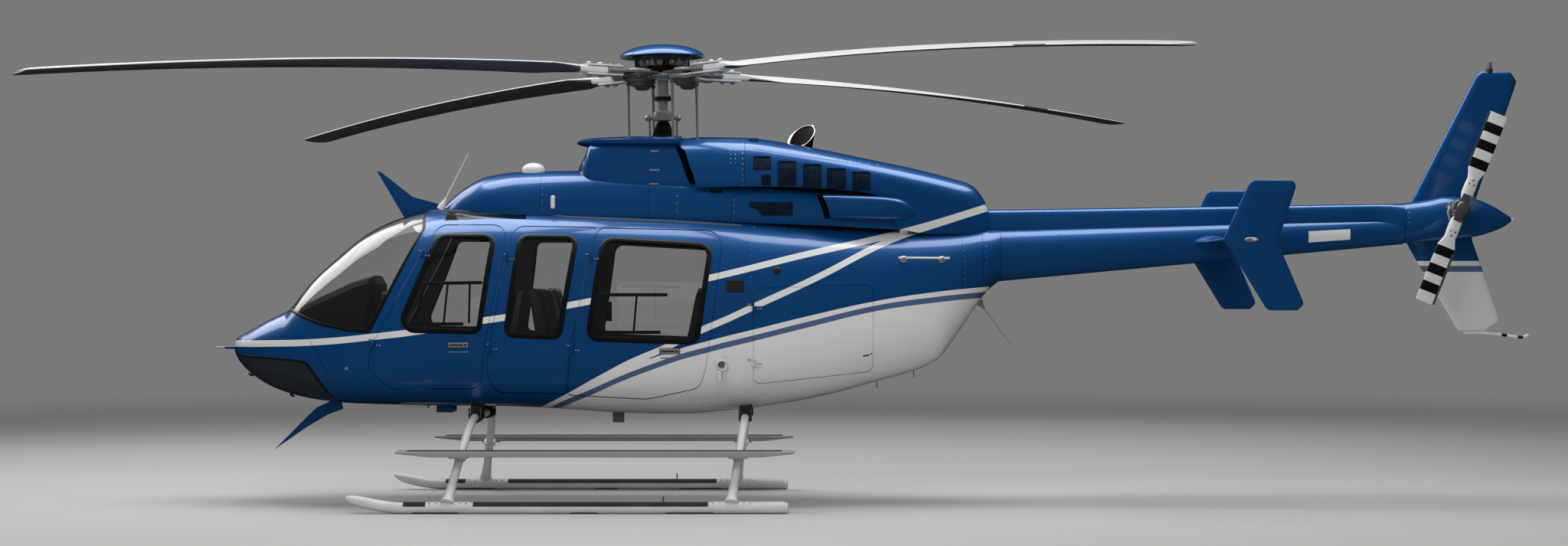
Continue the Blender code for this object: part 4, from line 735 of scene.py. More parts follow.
# %% Makers for fittings
def ride_frames(path, ups=None, closed=False):
    """Tangent, up and across at each point of a path; without ups the frame is carried along it."""
    path = [Vector(p) for p in path]
    count = len(path)
    frames, carried = [], None
    for k in range(count):
        back = path[k - 1] if k or closed else path[0]
        ahead = path[(k + 1) % count] if k < count - 1 or closed else path[-1]
        along = (ahead - back).normalized()
        up = Vector(ups[k]) if ups is not None else carried
        if up is None:
            up = UP if abs(along.z) < 0.9 else Vector((0, 1, 0))
        up = (up - along * up.dot(along)).normalized()
        carried = up
        frames.append((path[k], up, along.cross(up)))
    return frames


def add_sweep(bm, path, profile, ups=None, mat=0, closed=False, scale=None):
    """A profile of (across, up) pairs swept along a path."""
    rings = []
    for k, (place, up, across) in enumerate(ride_frames(path, ups, closed)):
        size = scale[k] if scale else 1.0
        rings.append([place + across * (a * size) + up * (b * size) for a, b in profile])
    return add_rings(bm, rings, mat, closed=closed)


UP = Vector((0, 0, 1))
shift = Matrix.Translation


def circle(count):
    """Evenly spaced angles round a full turn."""
    return [2 * pi * k / count for k in range(count)]


def arc_points(radius, turns):
    return [(radius * cos(t), radius * sin(t)) for t in turns]


def add_bar(bm, path, radius, mat=0, sides=12, scale=None, closed=False):
    return add_sweep(bm, path, arc_points(radius, circle(sides)), None, mat, closed, scale)


def add_turned(bm, profile, place, sides=32, mat=0):
    """A profile of (radius, height) turned about the local Z of a placing matrix."""
    rings = []
    for radius, height in profile:
        ring = arc_points(max(radius, 0.0006), circle(sides))  # a ring of no size would have no faces
        rings.append([place @ Vector((x, y, height)) for x, y in ring])
    return add_rings(bm, rings, mat)


def standing(place, up):
    """A placing matrix whose Z points along up."""
    return shift(Vector(place)) @ Vector(up).to_track_quat("Z", "Y").to_matrix().to_4x4()


def add_block(bm, low, high, mat=0, ease=0.004, place=None):
    """A block between two corners, with eased edges."""
    made = bmesh.ops.create_cube(bm, size=1)["verts"]
    low, high = Vector(low), Vector(high)
    size = high - low
    bmesh.ops.transform(bm, matrix=shift(low + size / 2) @ Matrix.Diagonal((*size, 1)), verts=made)
    edges = list(dict.fromkeys(edge for vert in made for edge in vert.link_edges))
    ease = min(ease, min(size) * 0.45)
    corners = bmesh.ops.bevel(bm, geom=edges, offset=ease, segments=2, profile=0.6, affect="EDGES")["verts"]
    if place is not None:
        bmesh.ops.transform(bm, matrix=place, verts=corners)
    for face in {face for vert in corners for face in vert.link_faces}:
        face.material_index = mat


def add_button(bm, place, up, radius, height, mat=0, sides=12):
    """A domed head, as on a screw or a latch."""
    dome = [(radius, -0.002), (radius, height * 0.45), (radius * 0.75, height * 0.85), (radius * 0.3, height)]
    add_turned(bm, dome, standing(place, up), sides, mat)


def skin_place(x, z, side, table=None, out=0.0):
    """The point of a body's side at a station and a height, and its outward normal."""
    table = table or FUSELAGE
    y = side * float(side_at(table, x, z)[0])
    normal = Vector(normals_at(table, np.array([[x, y, z]]))[0])
    return Vector((x, y, z)) + normal * out, normal


def skin_path(outline, side, table=None, step=0.02, closed=True, out=0.0):
    """An outline in side view laid on the skin: evenly spaced points with their normals."""
    table = table or FUSELAGE
    corners = np.array(list(outline) + ([outline[0]] if closed else []), float)
    dense = []
    for a, b in zip(corners[:-1], corners[1:]):
        parts = max(1, int(np.hypot(*(b - a)) / 0.004))
        dense += [a + (b - a) * k / parts for k in range(parts)]
    dense = np.array(dense + [corners[-1]])
    y = side * side_at(table, dense[:, 0], dense[:, 1])
    points = np.column_stack([dense[:, 0], y, dense[:, 1]])
    keep = np.abs(y) > 0.003
    points = points[keep] if not closed else points
    run = np.concatenate([[0], np.cumsum(np.linalg.norm(np.diff(points, axis=0), axis=1))])
    count = max(3, int(run[-1] / step))
    at = np.linspace(0, run[-1], count + 1)[: count if closed else count + 1]
    points = np.column_stack([np.interp(at, run, points[:, c]) for c in range(3)])
    y = side * side_at(table, points[:, 0], points[:, 2])
    points[:, 1] = np.where(np.abs(y) > 0.05, y, points[:, 1])
    ups = normals_at(table, points)
    return [Vector(p) + Vector(n) * out for p, n in zip(points, ups)], [Vector(n) for n in ups]


def strip(half, height, sunk=0.004):
    """The section of a strip that lies on the skin, with eased shoulders."""
    top, shoulder = half * 0.72, height * 0.35
    return [(-half, -sunk), (half, -sunk), (half, shoulder), (top, height), (-top, height), (-half, shoulder)]


def flat_bar(half, rise):
    """A flat rectangular section, for add_sweep."""
    return [(-half, -rise), (half, -rise), (half, rise), (-half, rise)]


def piece(name, bm, materials, replaces=(), body="airframe", crease=35):
    return place_mesh(name, mesh_from(bm), materials, replaces, body, crease)


print("points in the section of a strip:", len(strip(0.01, 0.003)))

# %% [markdown]
# ## Cowlings
# The roof fairing, the mast fairing with its visor, and the engine cowling are fibreglass shells.
# Between the last two a dark slot lets air into the engine, and wire screens let the hot air out.
# Each shell is its outer form less an inner one, with slot and screens cut through both.

# %% Sections of the cowlings
# station, low, high, half width, height of the widest point, exponents below and above
ROOF_FAIRING = [
    (-3.225, 2.200, 2.372, 0.100, 2.250, 2.0, 2.0),
    (-3.150, 2.200, 2.440, 0.215, 2.260, 2.0, 2.1),
    (-3.050, 2.200, 2.520, 0.290, 2.270, 2.0, 2.3),
    (-2.870, 2.200, 2.610, 0.355, 2.280, 2.0, 2.5),
    (-2.600, 2.200, 2.648, 0.395, 2.290, 2.0, 2.8),
    (-2.200, 2.190, 2.655, 0.410, 2.290, 2.0, 3.2),
    (-1.300, 2.150, 2.600, 0.415, 2.280, 2.0, 3.6),
    (-0.300, 2.080, 2.520, 0.405, 2.260, 2.0, 3.6),
    (0.300, 2.050, 2.460, 0.350, 2.240, 2.0, 3.2),
    (0.500, 2.050, 2.420, 0.280, 2.230, 2.0, 2.8),
]
ENGINE_COWLING = [
    (-1.270, 2.440, 2.922, 0.455, 2.560, 3.0, 3.2),
    (-1.150, 2.440, 2.925, 0.460, 2.560, 3.0, 3.2),
    (-0.800, 2.450, 2.920, 0.462, 2.560, 3.0, 3.0),
    (-0.450, 2.450, 2.875, 0.455, 2.555, 3.0, 2.9),
    (-0.050, 2.430, 2.800, 0.430, 2.540, 3.0, 2.8),
    (0.250, 2.370, 2.738, 0.395, 2.520, 3.0, 2.7),
    (0.450, 1.900, 2.698, 0.362, 2.490, 3.0, 2.6),
    (0.600, 1.900, 2.664, 0.330, 2.450, 3.0, 2.6),
    (0.850, 1.950, 2.600, 0.265, 2.400, 3.0, 2.5),
    (1.020, 2.000, 2.545, 0.210, 2.350, 3.0, 2.4),
    (1.110, 2.020, 2.450, 0.165, 2.290, 3.0, 2.3),
    (1.158, 2.040, 2.352, 0.130, 2.240, 3.0, 2.2),
]
MAST_FAIRING = [
    (-2.130, 2.560, 2.680, 0.180, 2.600, 3.0, 3.0),
    (-2.080, 2.520, 2.780, 0.300, 2.600, 3.0, 3.0),
    (-2.020, 2.420, 2.888, 0.350, 2.620, 3.0, 4.0),
    (-1.700, 2.360, 2.892, 0.375, 2.620, 3.0, 6.0),
    (-1.271, 2.360, 2.892, 0.380, 2.620, 3.0, 6.0),
]
VISOR = [
    (-2.150, 2.872, 2.890, 0.030, 2.882, 2.0, 2.0),
    (-2.120, 2.862, 2.902, 0.160, 2.880, 2.2, 2.2),
    (-2.050, 2.852, 2.912, 0.290, 2.876, 2.5, 2.4),
    (-1.900, 2.846, 2.920, 0.385, 2.874, 3.0, 2.6),
    (-1.700, 2.844, 2.925, 0.430, 2.873, 3.0, 2.8),
    (-1.300, 2.843, 2.926, 0.455, 2.872, 3.0, 3.0),
]
SCOOP = [
    (-0.235, 2.255, 2.458, 0.160, 2.360, 5.0, 5.0),
    (0.100, 2.255, 2.448, 0.166, 2.350, 5.0, 5.0),
    (0.380, 2.255, 2.432, 0.135, 2.345, 4.0, 4.0),
    (0.490, 2.257, 2.400, 0.090, 2.325, 3.0, 3.0),
    (0.565, 2.275, 2.330, 0.030, 2.300, 2.0, 2.0),
]
SCOOP_Y = 0.300
SLOT_FRONT = [(-1.345, 2.836), (-1.328, 2.790), (-1.294, 2.702), (-1.247, 2.569), (-1.222, 2.512)]
SLOT_REAR = [(-1.200, 2.506), (-1.181, 2.528), (-1.190, 2.569), (-1.237, 2.702), (-1.276, 2.806), (-1.318, 2.836)]
# front, rear, low and high edge of each screened opening in the engine cowling
SCREENS = [
    (-0.727, -0.588, 2.639, 2.754),
    (-0.663, -0.588, 2.518, 2.605),
    (-0.533, -0.388, 2.514, 2.717),
    (-0.334, -0.189, 2.494, 2.693),
    (-0.147, 0.004, 2.494, 2.660),
    (0.056, 0.198, 2.482, 2.633),
]
LOWER_SCREEN = [(-0.759, 2.392), (-0.414, 2.392), (-0.414, 2.282), (-0.655, 2.282), (-0.700, 2.335), (-0.759, 2.352)]
COWL_WALL, MAST_X = 0.014, -1.466


def smoothed(points, steps=28):
    """A slot edge as a smooth curve of length against height, from top to bottom."""
    known = np.array(sorted(points, key=lambda p: p[1]))
    z = np.linspace(known[-1, 1], known[0, 1], steps)
    return list(zip(eased(known[:, 1], known[:, 0], z), z))


def lined_inside(mesh, table, centre, share=0.9):
    """Faces well inside a body's skin take finish 1."""
    kind = level(table, read(mesh.polygons, "center", 3) - np.array(centre)) < share
    mesh.polygons.foreach_set("material_index", kind.astype(int))


def cowl_shell(table, drop, at, open_front=False, open_back=False, around=96):
    """A body's outer form less an inner one, which also runs out of an open end."""
    outer = form(skin_rings(table, at, around))
    first = at[0] - 1 if open_front else at[0] + COWL_WALL
    last = at[-1] + 1 if open_back else at[-1] - COWL_WALL
    inner = [x for x in at if first < x < last]
    rings = skin_rings(table, inner, around, COWL_WALL, drop)
    if open_front:
        rings[0][:, 0] -= 0.05
    if open_back:
        rings[-1][:, 0] += 0.05
    return carved(outer, [form(rings)])


def thin_sheet(table, at, depth=0.008, thick=0.003):
    """A closed sheet that follows a body at a depth below its skin."""
    inner = form(skin_rings(table, at[1:-1], 96, depth + thick))
    return carved(form(skin_rings(table, at, 96, depth)), [inner])


def both_sides(outline, near=0.30, far=0.60):
    return [slab(outline, side * near, side * far) for side in (-1, 1)]


def rounded_box(front, rear, low, high, radius=0.014):
    corners = ((front, high), (rear, high), (rear, low), (front, low))
    return arcs([(x, z, radius) for x, z in corners], 5)


roof_tool = form(skin_rings(FUSELAGE, stations, 112, -0.0006))
well_tool = bmesh.new()
add_turned(well_tool, [(0.325, 2.70), (0.325, 3.30)], shift((MAST_X, 0, 0)), 64)
well_tool = mesh_from(well_tool)
print("cowling tools are ready")

# %% Roof fairing, mast fairing and engine cowling
fairing_at = spaced((-3.225, -2.5, 40), (-2.5, 0.5, 48))
fairing = cowl_shell(ROOF_FAIRING, 0.4, fairing_at)
deck = slab([(MAST_X - 0.36, 2.40), (MAST_X - 0.36, 3.2), (0.40, 3.2), (0.40, 2.40)], -0.33, 0.33)
fairing = carved(fairing, [roof_tool, deck, *both_sides(LOWER_SCREEN)])
place_mesh("roof_fairing_shell", fairing, [LINED_BLUE, TRIM], ["roof_fairing"], table=ROOF_FAIRING)

fairing_tool = form(skin_rings(ROOF_FAIRING, fairing_at, 96, -0.0006))
mast_rows = MAST_FAIRING[:-1] + [(-1.150, 2.360, 2.892, 0.380, 2.620, 3.0, 6.0)]
mast_at = spaced((-2.13, -2.0, 16), (-2.0, -1.15, 20))
mast = cowl_shell(mast_rows, 0.3, mast_at, open_back=True, around=128)
behind_slot = slab(smoothed(SLOT_FRONT) + [(-1.0, 2.40), (-1.0, 3.0), (-1.345, 3.0)], -0.6, 0.6)
mast = carved(mast, [fairing_tool, behind_slot, well_tool])
place_mesh("mast_fairing_shell", mast, [PLAIN_BLUE, TRIM], ["mast_fairing"], table=mast_rows)
visor_at = np.unique(np.concatenate([-2.15 + 0.25 * np.linspace(0, 1, 16) ** 2, np.linspace(-1.9, -1.30, 12)]))
visor = carved(form(skin_rings(VISOR, visor_at, 96)), [well_tool])
place_mesh("intake_visor", visor, [PLAIN_BLUE], table=VISOR)

cowl_rows = [(-1.400, *ENGINE_COWLING[0][1:])] + ENGINE_COWLING
cowl_at = spaced((-1.40, 0.9, 60), (0.9, 1.158, 24))
cowl = cowl_shell(cowl_rows, 0.3, cowl_at, open_front=True, around=128)
slot_line = [(-1.345, 3.1), (-1.345, 2.836), *smoothed(SLOT_REAR), (-1.20, 2.2), (-1.8, 2.2), (-1.8, 3.1)]
ahead_of_slot = slab(slot_line, -0.6, 0.6)
holes = [hole for screen in SCREENS for hole in both_sides(rounded_box(*screen))]
stack_gap = bmesh.new()
add_turned(stack_gap, [(0.122, 2.60), (0.122, 3.10)], shift((-0.362, 0, 0)), 40)
cowl = carved(cowl, [roof_tool, ahead_of_slot, well_tool, mesh_from(stack_gap), *holes])
place_mesh("engine_cowling_shell", cowl, [LINED_BLUE, TRIM], ["engine_cowling"], table=cowl_rows)
print("cowling faces:", len(fairing.polygons), len(mast.polygons), len(cowl.polygons))


# %% Wire screens, intake duct and side scoops
def wire_screen():
    """Woven steel wire: a 16 mm mesh, coarser than the real 3 mm so that it shows, with the gaps between the wires near
    black as painted shade of the bay behind.
    """
    material, tree, shader = finish_of("woven_wire_screen", Metallic=0.7, Roughness=0.5)
    where = add(tree, "TexCoord", out="Object")
    ways = [add(tree, "TexWave", Vector=where, Scale=WAVE / 16, out=1, bands_direction=way) for way in "XZ"]
    wires = add(tree, "Math", *ways, operation="MAXIMUM")
    shown = add(tree, "MapRange", Value=wires, From_Min=0.80, From_Max=0.97)
    soot = add(tree, "TexNoise", Vector=where, Scale=14.0, Detail=3.0)
    wire = add(tree, "Mix", soot, i6="#1d2c44", i7="#5f7391", **RGBA)
    # between the wires: painted shade of the dark bay behind the screen
    colour = add(tree, "Mix", shown, i6="#0a1220", i7=wire, **RGBA)
    feed(shader, Base_Color=colour, Normal=add(tree, "Bump", Strength=0.6, Distance=0.002, Height=wires))
    return material


MESH = wire_screen()
screen_skin, lower_skin = thin_sheet(cowl_rows, cowl_at), thin_sheet(ROOF_FAIRING, fairing_at)
scoop_at = spaced((-0.235, 0.40, 12), (0.40, 0.565, 16))
for side, word in ((-1, "left"), (1, "right")):
    for number, screen in enumerate(SCREENS):
        inside = rounded_box(*np.add(screen, (PLAY, -PLAY, PLAY, -PLAY)).tolist())
        cloth = carved(screen_skin.copy(), [slab(inside, side * 0.30, side * 0.60)], "INTERSECT")
        place_mesh(f"wire_screen_{word}_{number + 1}", cloth, [MESH], table=cowl_rows)
    inside = slab(grown(LOWER_SCREEN, -PLAY), side * 0.30, side * 0.60)
    cloth = carved(lower_skin.copy(), [inside], "INTERSECT")
    place_mesh(f"wire_screen_{word}_lower", cloth, [MESH], table=ROOF_FAIRING)
    outer, inner = skin_rings(SCOOP, scoop_at, 64), skin_rings(SCOOP, scoop_at[:-8], 64, 0.010)
    inner[0][:, 0] -= 0.05
    for rings in (outer, inner):
        rings[:, :, 1] += side * SCOOP_Y
    lips = smoothed([(-0.188, 2.460), (-0.140, 2.350), (-0.115, 2.250)], 16)
    front = slab([(-0.5, 2.20), (-0.5, 2.60), (-0.188, 2.60), *lips, (-0.115, 2.20)], -0.7, 0.7)
    scoop = carved(form(outer), [form(inner), front])
    # the scoop's inner faces take the black of painted shade
    lined_inside(scoop, SCOOP, (0, side * SCOOP_Y, 0))
    place_mesh(f"cooling_scoop_{word}", scoop, [LINED_BLUE, PAINTED_SHADE_BLACK], crease=40)
# the plates behind the intake slot, the strips in the scoop mouths and the mast well are all black as painted shade
duct = bmesh.new()
for side in (-1, 1):
    path, ups = skin_path([(-0.205, 2.452), (-0.163, 2.352), (-0.139, 2.262)], side, ROOF_FAIRING, closed=False)
    add_sweep(duct, path, strip(0.024, 0.002), ups)
    add_block(duct, (-1.36, side * 0.340 - 0.004, 2.52), (-1.14, side * 0.340 + 0.004, 2.84), ease=0.002)
well = [(0.327, 2.66), (0.327, 2.905), (0.322, 2.905), (0.322, 2.67), (0.10, 2.67), (0.10, 2.66)]
add_turned(duct, well, shift((MAST_X, 0, 0)), 64)
piece("intake_duct_and_well", duct, [PAINTED_SHADE_BLACK])
print("screens:", 2 * (len(SCREENS) + 1))

# %% Exhaust
# Thin stainless sheet, blued and browned where the gas heats it, cut open towards the left and aft.


def heated_steel():
    material, tree, shader = finish_of("heat_tinted_stainless_steel", Metallic=1.0, Roughness=0.3)
    where = add(tree, "TexCoord", out="Object")
    height = add(tree, "SeparateXYZ", where, out=2)
    wander = add(tree, "TexNoise", Vector=where, Scale=9.0, Detail=4.0)
    soot = add(tree, "TexNoise", Vector=where, Scale=30.0, Detail=3.0)
    heat = add(tree, "Math", wander, 0.10, height, operation="MULTIPLY_ADD")
    share = add(tree, "MapRange", Value=heat, From_Min=2.88, From_Max=3.10)
    warm = add(tree, "Mix", share, i6="#4d4742", i7="#b9b7b2", **RGBA)
    film = add(tree, "Math", soot, 0.4, operation="MULTIPLY")
    colour = add(tree, "Mix", film, i6=warm, i7="#3a332d", **RGBA)
    feed(shader, Base_Color=colour, Normal=add(tree, "Bump", Strength=0.2, Distance=0.001, Height=soot))
    return material


HOT_STEEL = heated_steel()
STACK, STACK_WALL, LIP_SIDES = 0.100, 0.005, 64  # radius, thickness, points round the lip
spine = [(-0.365, 0, 2.66), (-0.362, 0, 2.80), (-0.350, 0, 2.90), (-0.330, 0, 3.00), (-0.310, 0, 3.08)]
tubes = []
for radius, path in ((STACK, spine), (STACK - STACK_WALL, [(-0.365, 0, 2.75), *spine[1:-1], (-0.300, 0, 3.12)])):
    bm = bmesh.new()
    add_bar(bm, path, radius, sides=LIP_SIDES)
    tubes.append(mesh_from(bm))
# the mouth lies in a plane that faces left and slants down towards the nose
mouth = shift((-0.335, 0.100, 3.020)) @ Matrix.Rotation(radians(-24), 4, "Y") @ Matrix.Rotation(radians(40), 4, "X")
bm = bmesh.new()
add_block(bm, (-0.5, -0.5, 0.0), (0.5, 0.5, 0.5), ease=0.0005, place=mouth)
stack = carved(tubes[0], [tubes[1], mesh_from(bm)])
normal, middle_of_wall = mouth.to_3x3() @ UP, STACK - STACK_WALL / 2
rim = []
for turn in circle(LIP_SIDES):
    foot = Vector((-0.335 + middle_of_wall * cos(turn), middle_of_wall * sin(turn), 2.5))
    height = (mouth.translation - foot).dot(normal) / normal.z
    lean = 0.16 * (foot.z + height - 2.98)
    rim.append(foot + Vector((lean, 0, height + 0.001)))
bm = bmesh.new()
bm.from_mesh(stack)
bm.faces.ensure_lookup_table()
for face in bm.faces:
    spot = face.calc_center_median()
    middle = np.interp(spot.z, [p[2] for p in spine], [p[0] for p in spine])
    face.material_index = 2 if hypot(spot.x - middle, spot.y) < 0.0972 else 0
# the rolled lip, broadest in front
lip = [1.0 + 3.0 * max(0.0, -cos(turn - 0.5)) for turn in circle(LIP_SIDES)]
add_bar(bm, rim, 0.006, 1, 10, lip, closed=True)
stack = mesh_from(bm)
BRIGHT_STEEL = plain_finish("rolled_bright_steel_edge", "#8d8b86", "#d4d3d0", 3.0, 0.24, metallic=1.0)
place_mesh("exhaust_outlet", stack, [HOT_STEEL, BRIGHT_STEEL, SOOT], ["exhaust_stack"], crease=40)
print("exhaust top:", round(max(v.co.z for v in stack.vertices), 3))

# %% [markdown]
# ## Tail
# The boom is a riveted aluminium cone with a tunnel on top for the drive shaft. The fins and the
# stabilizer are thin honeycomb panels with rounded edges, so each is an outline in side view with a
# shallow section: full in the middle and closing towards its edge.

# %% Boom, cover and tail cone
BOOM_FRONT, BOOM_REAR = 1.2433, 4.50
TAIL_CONE = [
    (4.5003, 2.075, 2.395, 0.118, 2.215, 2.0, 2.0),
    (4.680, 2.088, 2.420, 0.128, 2.240, 2.1, 2.1),
    (4.850, 2.102, 2.452, 0.132, 2.270, 2.1, 2.1),
    (5.080, 2.128, 2.432, 0.125, 2.275, 2.0, 2.0),
    (5.200, 2.160, 2.388, 0.098, 2.270, 2.0, 2.0),
    (5.310, 2.205, 2.325, 0.055, 2.266, 2.0, 2.0),
    (5.375, 2.250, 2.282, 0.014, 2.266, 2.0, 2.0),
]
# x, z and corner radius
FIN = [
    (4.600, 2.410, 0.03), (5.130, 3.440, 0.08), (5.180, 3.475, 0.05), (5.410, 3.470, 0.05), (5.462, 3.390, 0.05),
    (5.130, 2.440, 0.03), (5.094, 2.120, 0.05), (5.328, 1.450, 0.04), (5.200, 1.366, 0.05), (4.985, 1.366, 0.04),
    (4.560, 2.090, 0.05),
]
ENDPLATE = [
    (3.095, 2.541, 0.07), (3.460, 2.541, 0.05), (3.303, 2.062, 0.05), (3.505, 1.590, 0.04),
    (3.455, 1.539, 0.03), (3.222, 1.539, 0.06), (2.885, 2.090, 0.04),
]


def boom_size(x):
    """Radius and centre height of the boom at a station."""
    return 0.219 - (x - BOOM_FRONT) * 0.0330, 1.987 + (x - BOOM_FRONT) * 0.0590


BOOM = []
for x in (BOOM_FRONT, 2.0, 3.0, BOOM_REAR):
    radius, middle = boom_size(x)
    BOOM.append((x, middle - radius, middle + radius, radius, middle, 2.0, 2.0))
boom = form(skin_rings(BOOM, np.linspace(BOOM_FRONT + 0.0005, BOOM_REAR, 30), 72))
place_mesh("tail_boom_skin", boom, [PLAIN_BLUE], ["tail_boom"], table=BOOM)
COVER = [
    (1.1583, boom_size(BOOM_FRONT)[1] - 0.05, 2.345, 0.115, 2.20, 2.0, 4.4),
    (1.6, boom_size(1.6)[1], 2.350, 0.112, 2.20, 2.0, 4.4),
    (3.0, boom_size(3.0)[1], 2.372, 0.100, 2.22, 2.0, 4.4),
    (4.28, boom_size(4.28)[1], 2.391, 0.090, 2.25, 2.0, 4.4),
    (4.4995, boom_size(4.4995)[1], 2.395, 0.114, 2.23, 2.0, 2.6),
]
cover = carved(form(skin_rings(COVER, np.linspace(1.1583, 4.4995, 30), 72)), [roof_tool])
place_mesh("drive_shaft_cover_skin", cover, [PLAIN_BLUE], ["drive_shaft_cover"], table=COVER)
cone_at = np.unique(np.concatenate([np.linspace(4.5003, 5.2, 30), 5.375 - 0.175 * np.linspace(0, 1, 20) ** 2]))
cone = form(skin_rings(TAIL_CONE, cone_at, 72))
gearbox = bmesh.new()
case = [(0.060, 0.0), (0.060, 0.22), (0.052, 0.235), (0.052, 0.274)]
add_turned(gearbox, case, standing((4.882, -0.02, 2.347), (0, -1, 0)), 36)
place_mesh("tail_cone_skin", cone, [PLAIN_BLUE], ["tail_cone"], table=TAIL_CONE)
piece("tail_gearbox_case", gearbox, [DULL_STEEL])
print("boom radius at the ends:", round(boom_size(BOOM_FRONT)[0], 3), round(boom_size(BOOM_REAR)[0], 3))


# %% Fins and stabilizer
def lens_panel(name, outline, y_mid, thick, materials, replaces, edge=0.05):
    """A flat panel with rounded edges, built of slices between the front and the rear of its outline."""
    line = np.array(arcs(outline, 10))
    nexts = np.roll(line, -1, axis=0)
    low, high = line[:, 1].min(), line[:, 1].max()
    ease = 0.09 * (0.5 - 0.5 * np.cos(np.linspace(0, pi, 25)))  # closer slices over the last 90 mm
    heights = np.unique(np.concatenate([low + ease, np.linspace(low + 0.09, high - 0.09, 40), high - ease]))
    chord = 0.5 - 0.5 * np.cos(np.linspace(0, pi, 29))
    rings = []
    for z in np.clip(heights, low + 0.0004, high - 0.0004):
        hit = (line[:, 1] <= z) != (nexts[:, 1] <= z)
        a, b = line[hit], nexts[hit]
        xs = a[:, 0] + (b[:, 0] - a[:, 0]) * (z - a[:, 1]) / (b[:, 1] - a[:, 1])
        x = xs.min() + (xs.max() - xs.min()) * chord
        inside = np.minimum.reduce([x - xs.min(), xs.max() - x, np.full_like(x, min(z - low, high - z))])
        half = 0.001 + (thick / 2 - 0.001) * np.sqrt(1 - (1 - np.clip(inside / edge, 0, 1)) ** 2)
        near = [(a, y_mid - h, z) for a, h in zip(x, half)]
        far = [(a, y_mid + h, z) for a, h in zip(x[::-1], half[::-1])]
        rings.append(near + far)
    bm = bmesh.new()
    add_rings(bm, rings)
    return piece(name, bm, materials, replaces, crease=60)


def fin_enamel():
    """The blue enamel again, with the white and grey bands of the lower fin."""
    material = blue_enamel("blue_enamel_with_white_fin_tip")
    tree = material.node_tree
    shader = tree.nodes["Principled BSDF"]
    base = shader.inputs["Base Color"].links[0].from_socket
    height = add(tree, "SeparateXYZ", add(tree, "TexCoord", out="Object"), out=2)
    white = add(tree, "Math", height, 1.934, operation="LESS_THAN")
    grey = add(tree, "Math", height, 1.8705, 0.0245, operation="COMPARE")
    colour = add(tree, "Mix", white, i6=base, i7="#d6d6d5", **RGBA)
    colour = add(tree, "Mix", grey, i6=colour, i7=LINE_GREY, **RGBA)
    feed(shader, Base_Color=colour, Metallic=add(tree, "Math", white, -FLAKE, FLAKE, operation="MULTIPLY_ADD"))
    return material


lens_panel("vertical_fin_skin", FIN, 0.142, 0.060, [fin_enamel()], ["vertical_fin"], 0.06)
for side, word in ((-1, "left"), (1, "right")):
    plate = f"endplate_skin_{word}"
    lens_panel(plate, ENDPLATE, side * 1.0, 0.030, [PLAIN_BLUE], [f"endplate_{word}"])
STABILIZER_HALF, STABILIZER_Z = 0.985, 2.076
bm = bmesh.new()
rings = []
for y in np.linspace(-STABILIZER_HALF, STABILIZER_HALF, 25):
    share = max(0.0, (abs(y) - 0.12) / 0.865)
    front, rear, thick = 2.80 + 0.07 * share, 3.27 + 0.02 * share, 0.060 - 0.010 * share
    ring = []
    for turn in circle(40):
        chord = 0.5 - 0.5 * cos(turn)
        rise = thick / 2 * sin(turn) * (1.25 - 0.65 * chord)
        ring.append((front + (rear - front) * chord, y, STABILIZER_Z + rise))
    rings.append(ring)
add_rings(bm, rings)
piece("stabilizer_skin", bm, [PLAIN_BLUE], ["stabilizer"])
print("stabilizer span:", 2 * STABILIZER_HALF)


# %% Tail skid and tail rotor
def banded(name, along, light, dark, bands):
    """White paint with black bands across a direction; each band has a middle and half a width."""
    material, tree, shader = finish_of(name, Roughness=0.4)
    where = add(tree, "TexCoord", out="Object")
    run = add(tree, "VectorMath", where, along, out="Value", operation="DOT_PRODUCT")
    black = add(tree, "Math", run, *bands[0], operation="COMPARE")
    for middle, half in bands[1:]:
        band = add(tree, "Math", run, middle, half, operation="COMPARE")
        black = add(tree, "Math", black, band, operation="MAXIMUM")
    dirt = add(tree, "TexNoise", Vector=where, Scale=12.0, Detail=5.0)
    pale = add(tree, "Mix", dirt, i6=light, i7="#e2e2e1", **RGBA)
    colour = add(tree, "Mix", black, i6=pale, i7=dark, **RGBA)
    feed(shader, Base_Color=colour, Normal=add(tree, "Bump", Strength=0.2, Distance=0.0005, Height=dirt))
    return material


TAIL_HUB = Vector((4.882, -0.36, 2.347))
TAIL_RADIUS, TAIL_CHORD, TAIL_ANGLE = 0.80, 0.148, radians(21.7)
tail_turn = shift(TAIL_HUB) @ Matrix.Rotation(TAIL_ANGLE, 4, "Y")
tail_along = (tail_turn.to_3x3() @ UP).normalized()
zero = TAIL_HUB.dot(tail_along)
skid_paint = banded("banded_skid_paint", (1, 0, 0), "#cfcfce", "#1a1a1a", [(5.36, 0.022), (5.49, 0.022)])
bands = [(zero + sense * middle, 0.039) for sense in (-1, 1) for middle in (0.372, 0.527, 0.675)]
blade_paint = banded("banded_tail_blade_paint", tuple(tail_along), "#c9c9c7", "#131315", bands)
bm = bmesh.new()
rod = [(5.03, 1.3537), (5.19, 1.3537), (5.30, 1.343), (5.46, 1.318), (5.505, 1.316), (5.53, 1.322), (5.556, 1.334)]
add_bar(bm, [(x, 0.142, z) for x, z in rod], 0.012, sides=16)
piece("tail_skid_rod", bm, [skid_paint], ["tail_skid"])
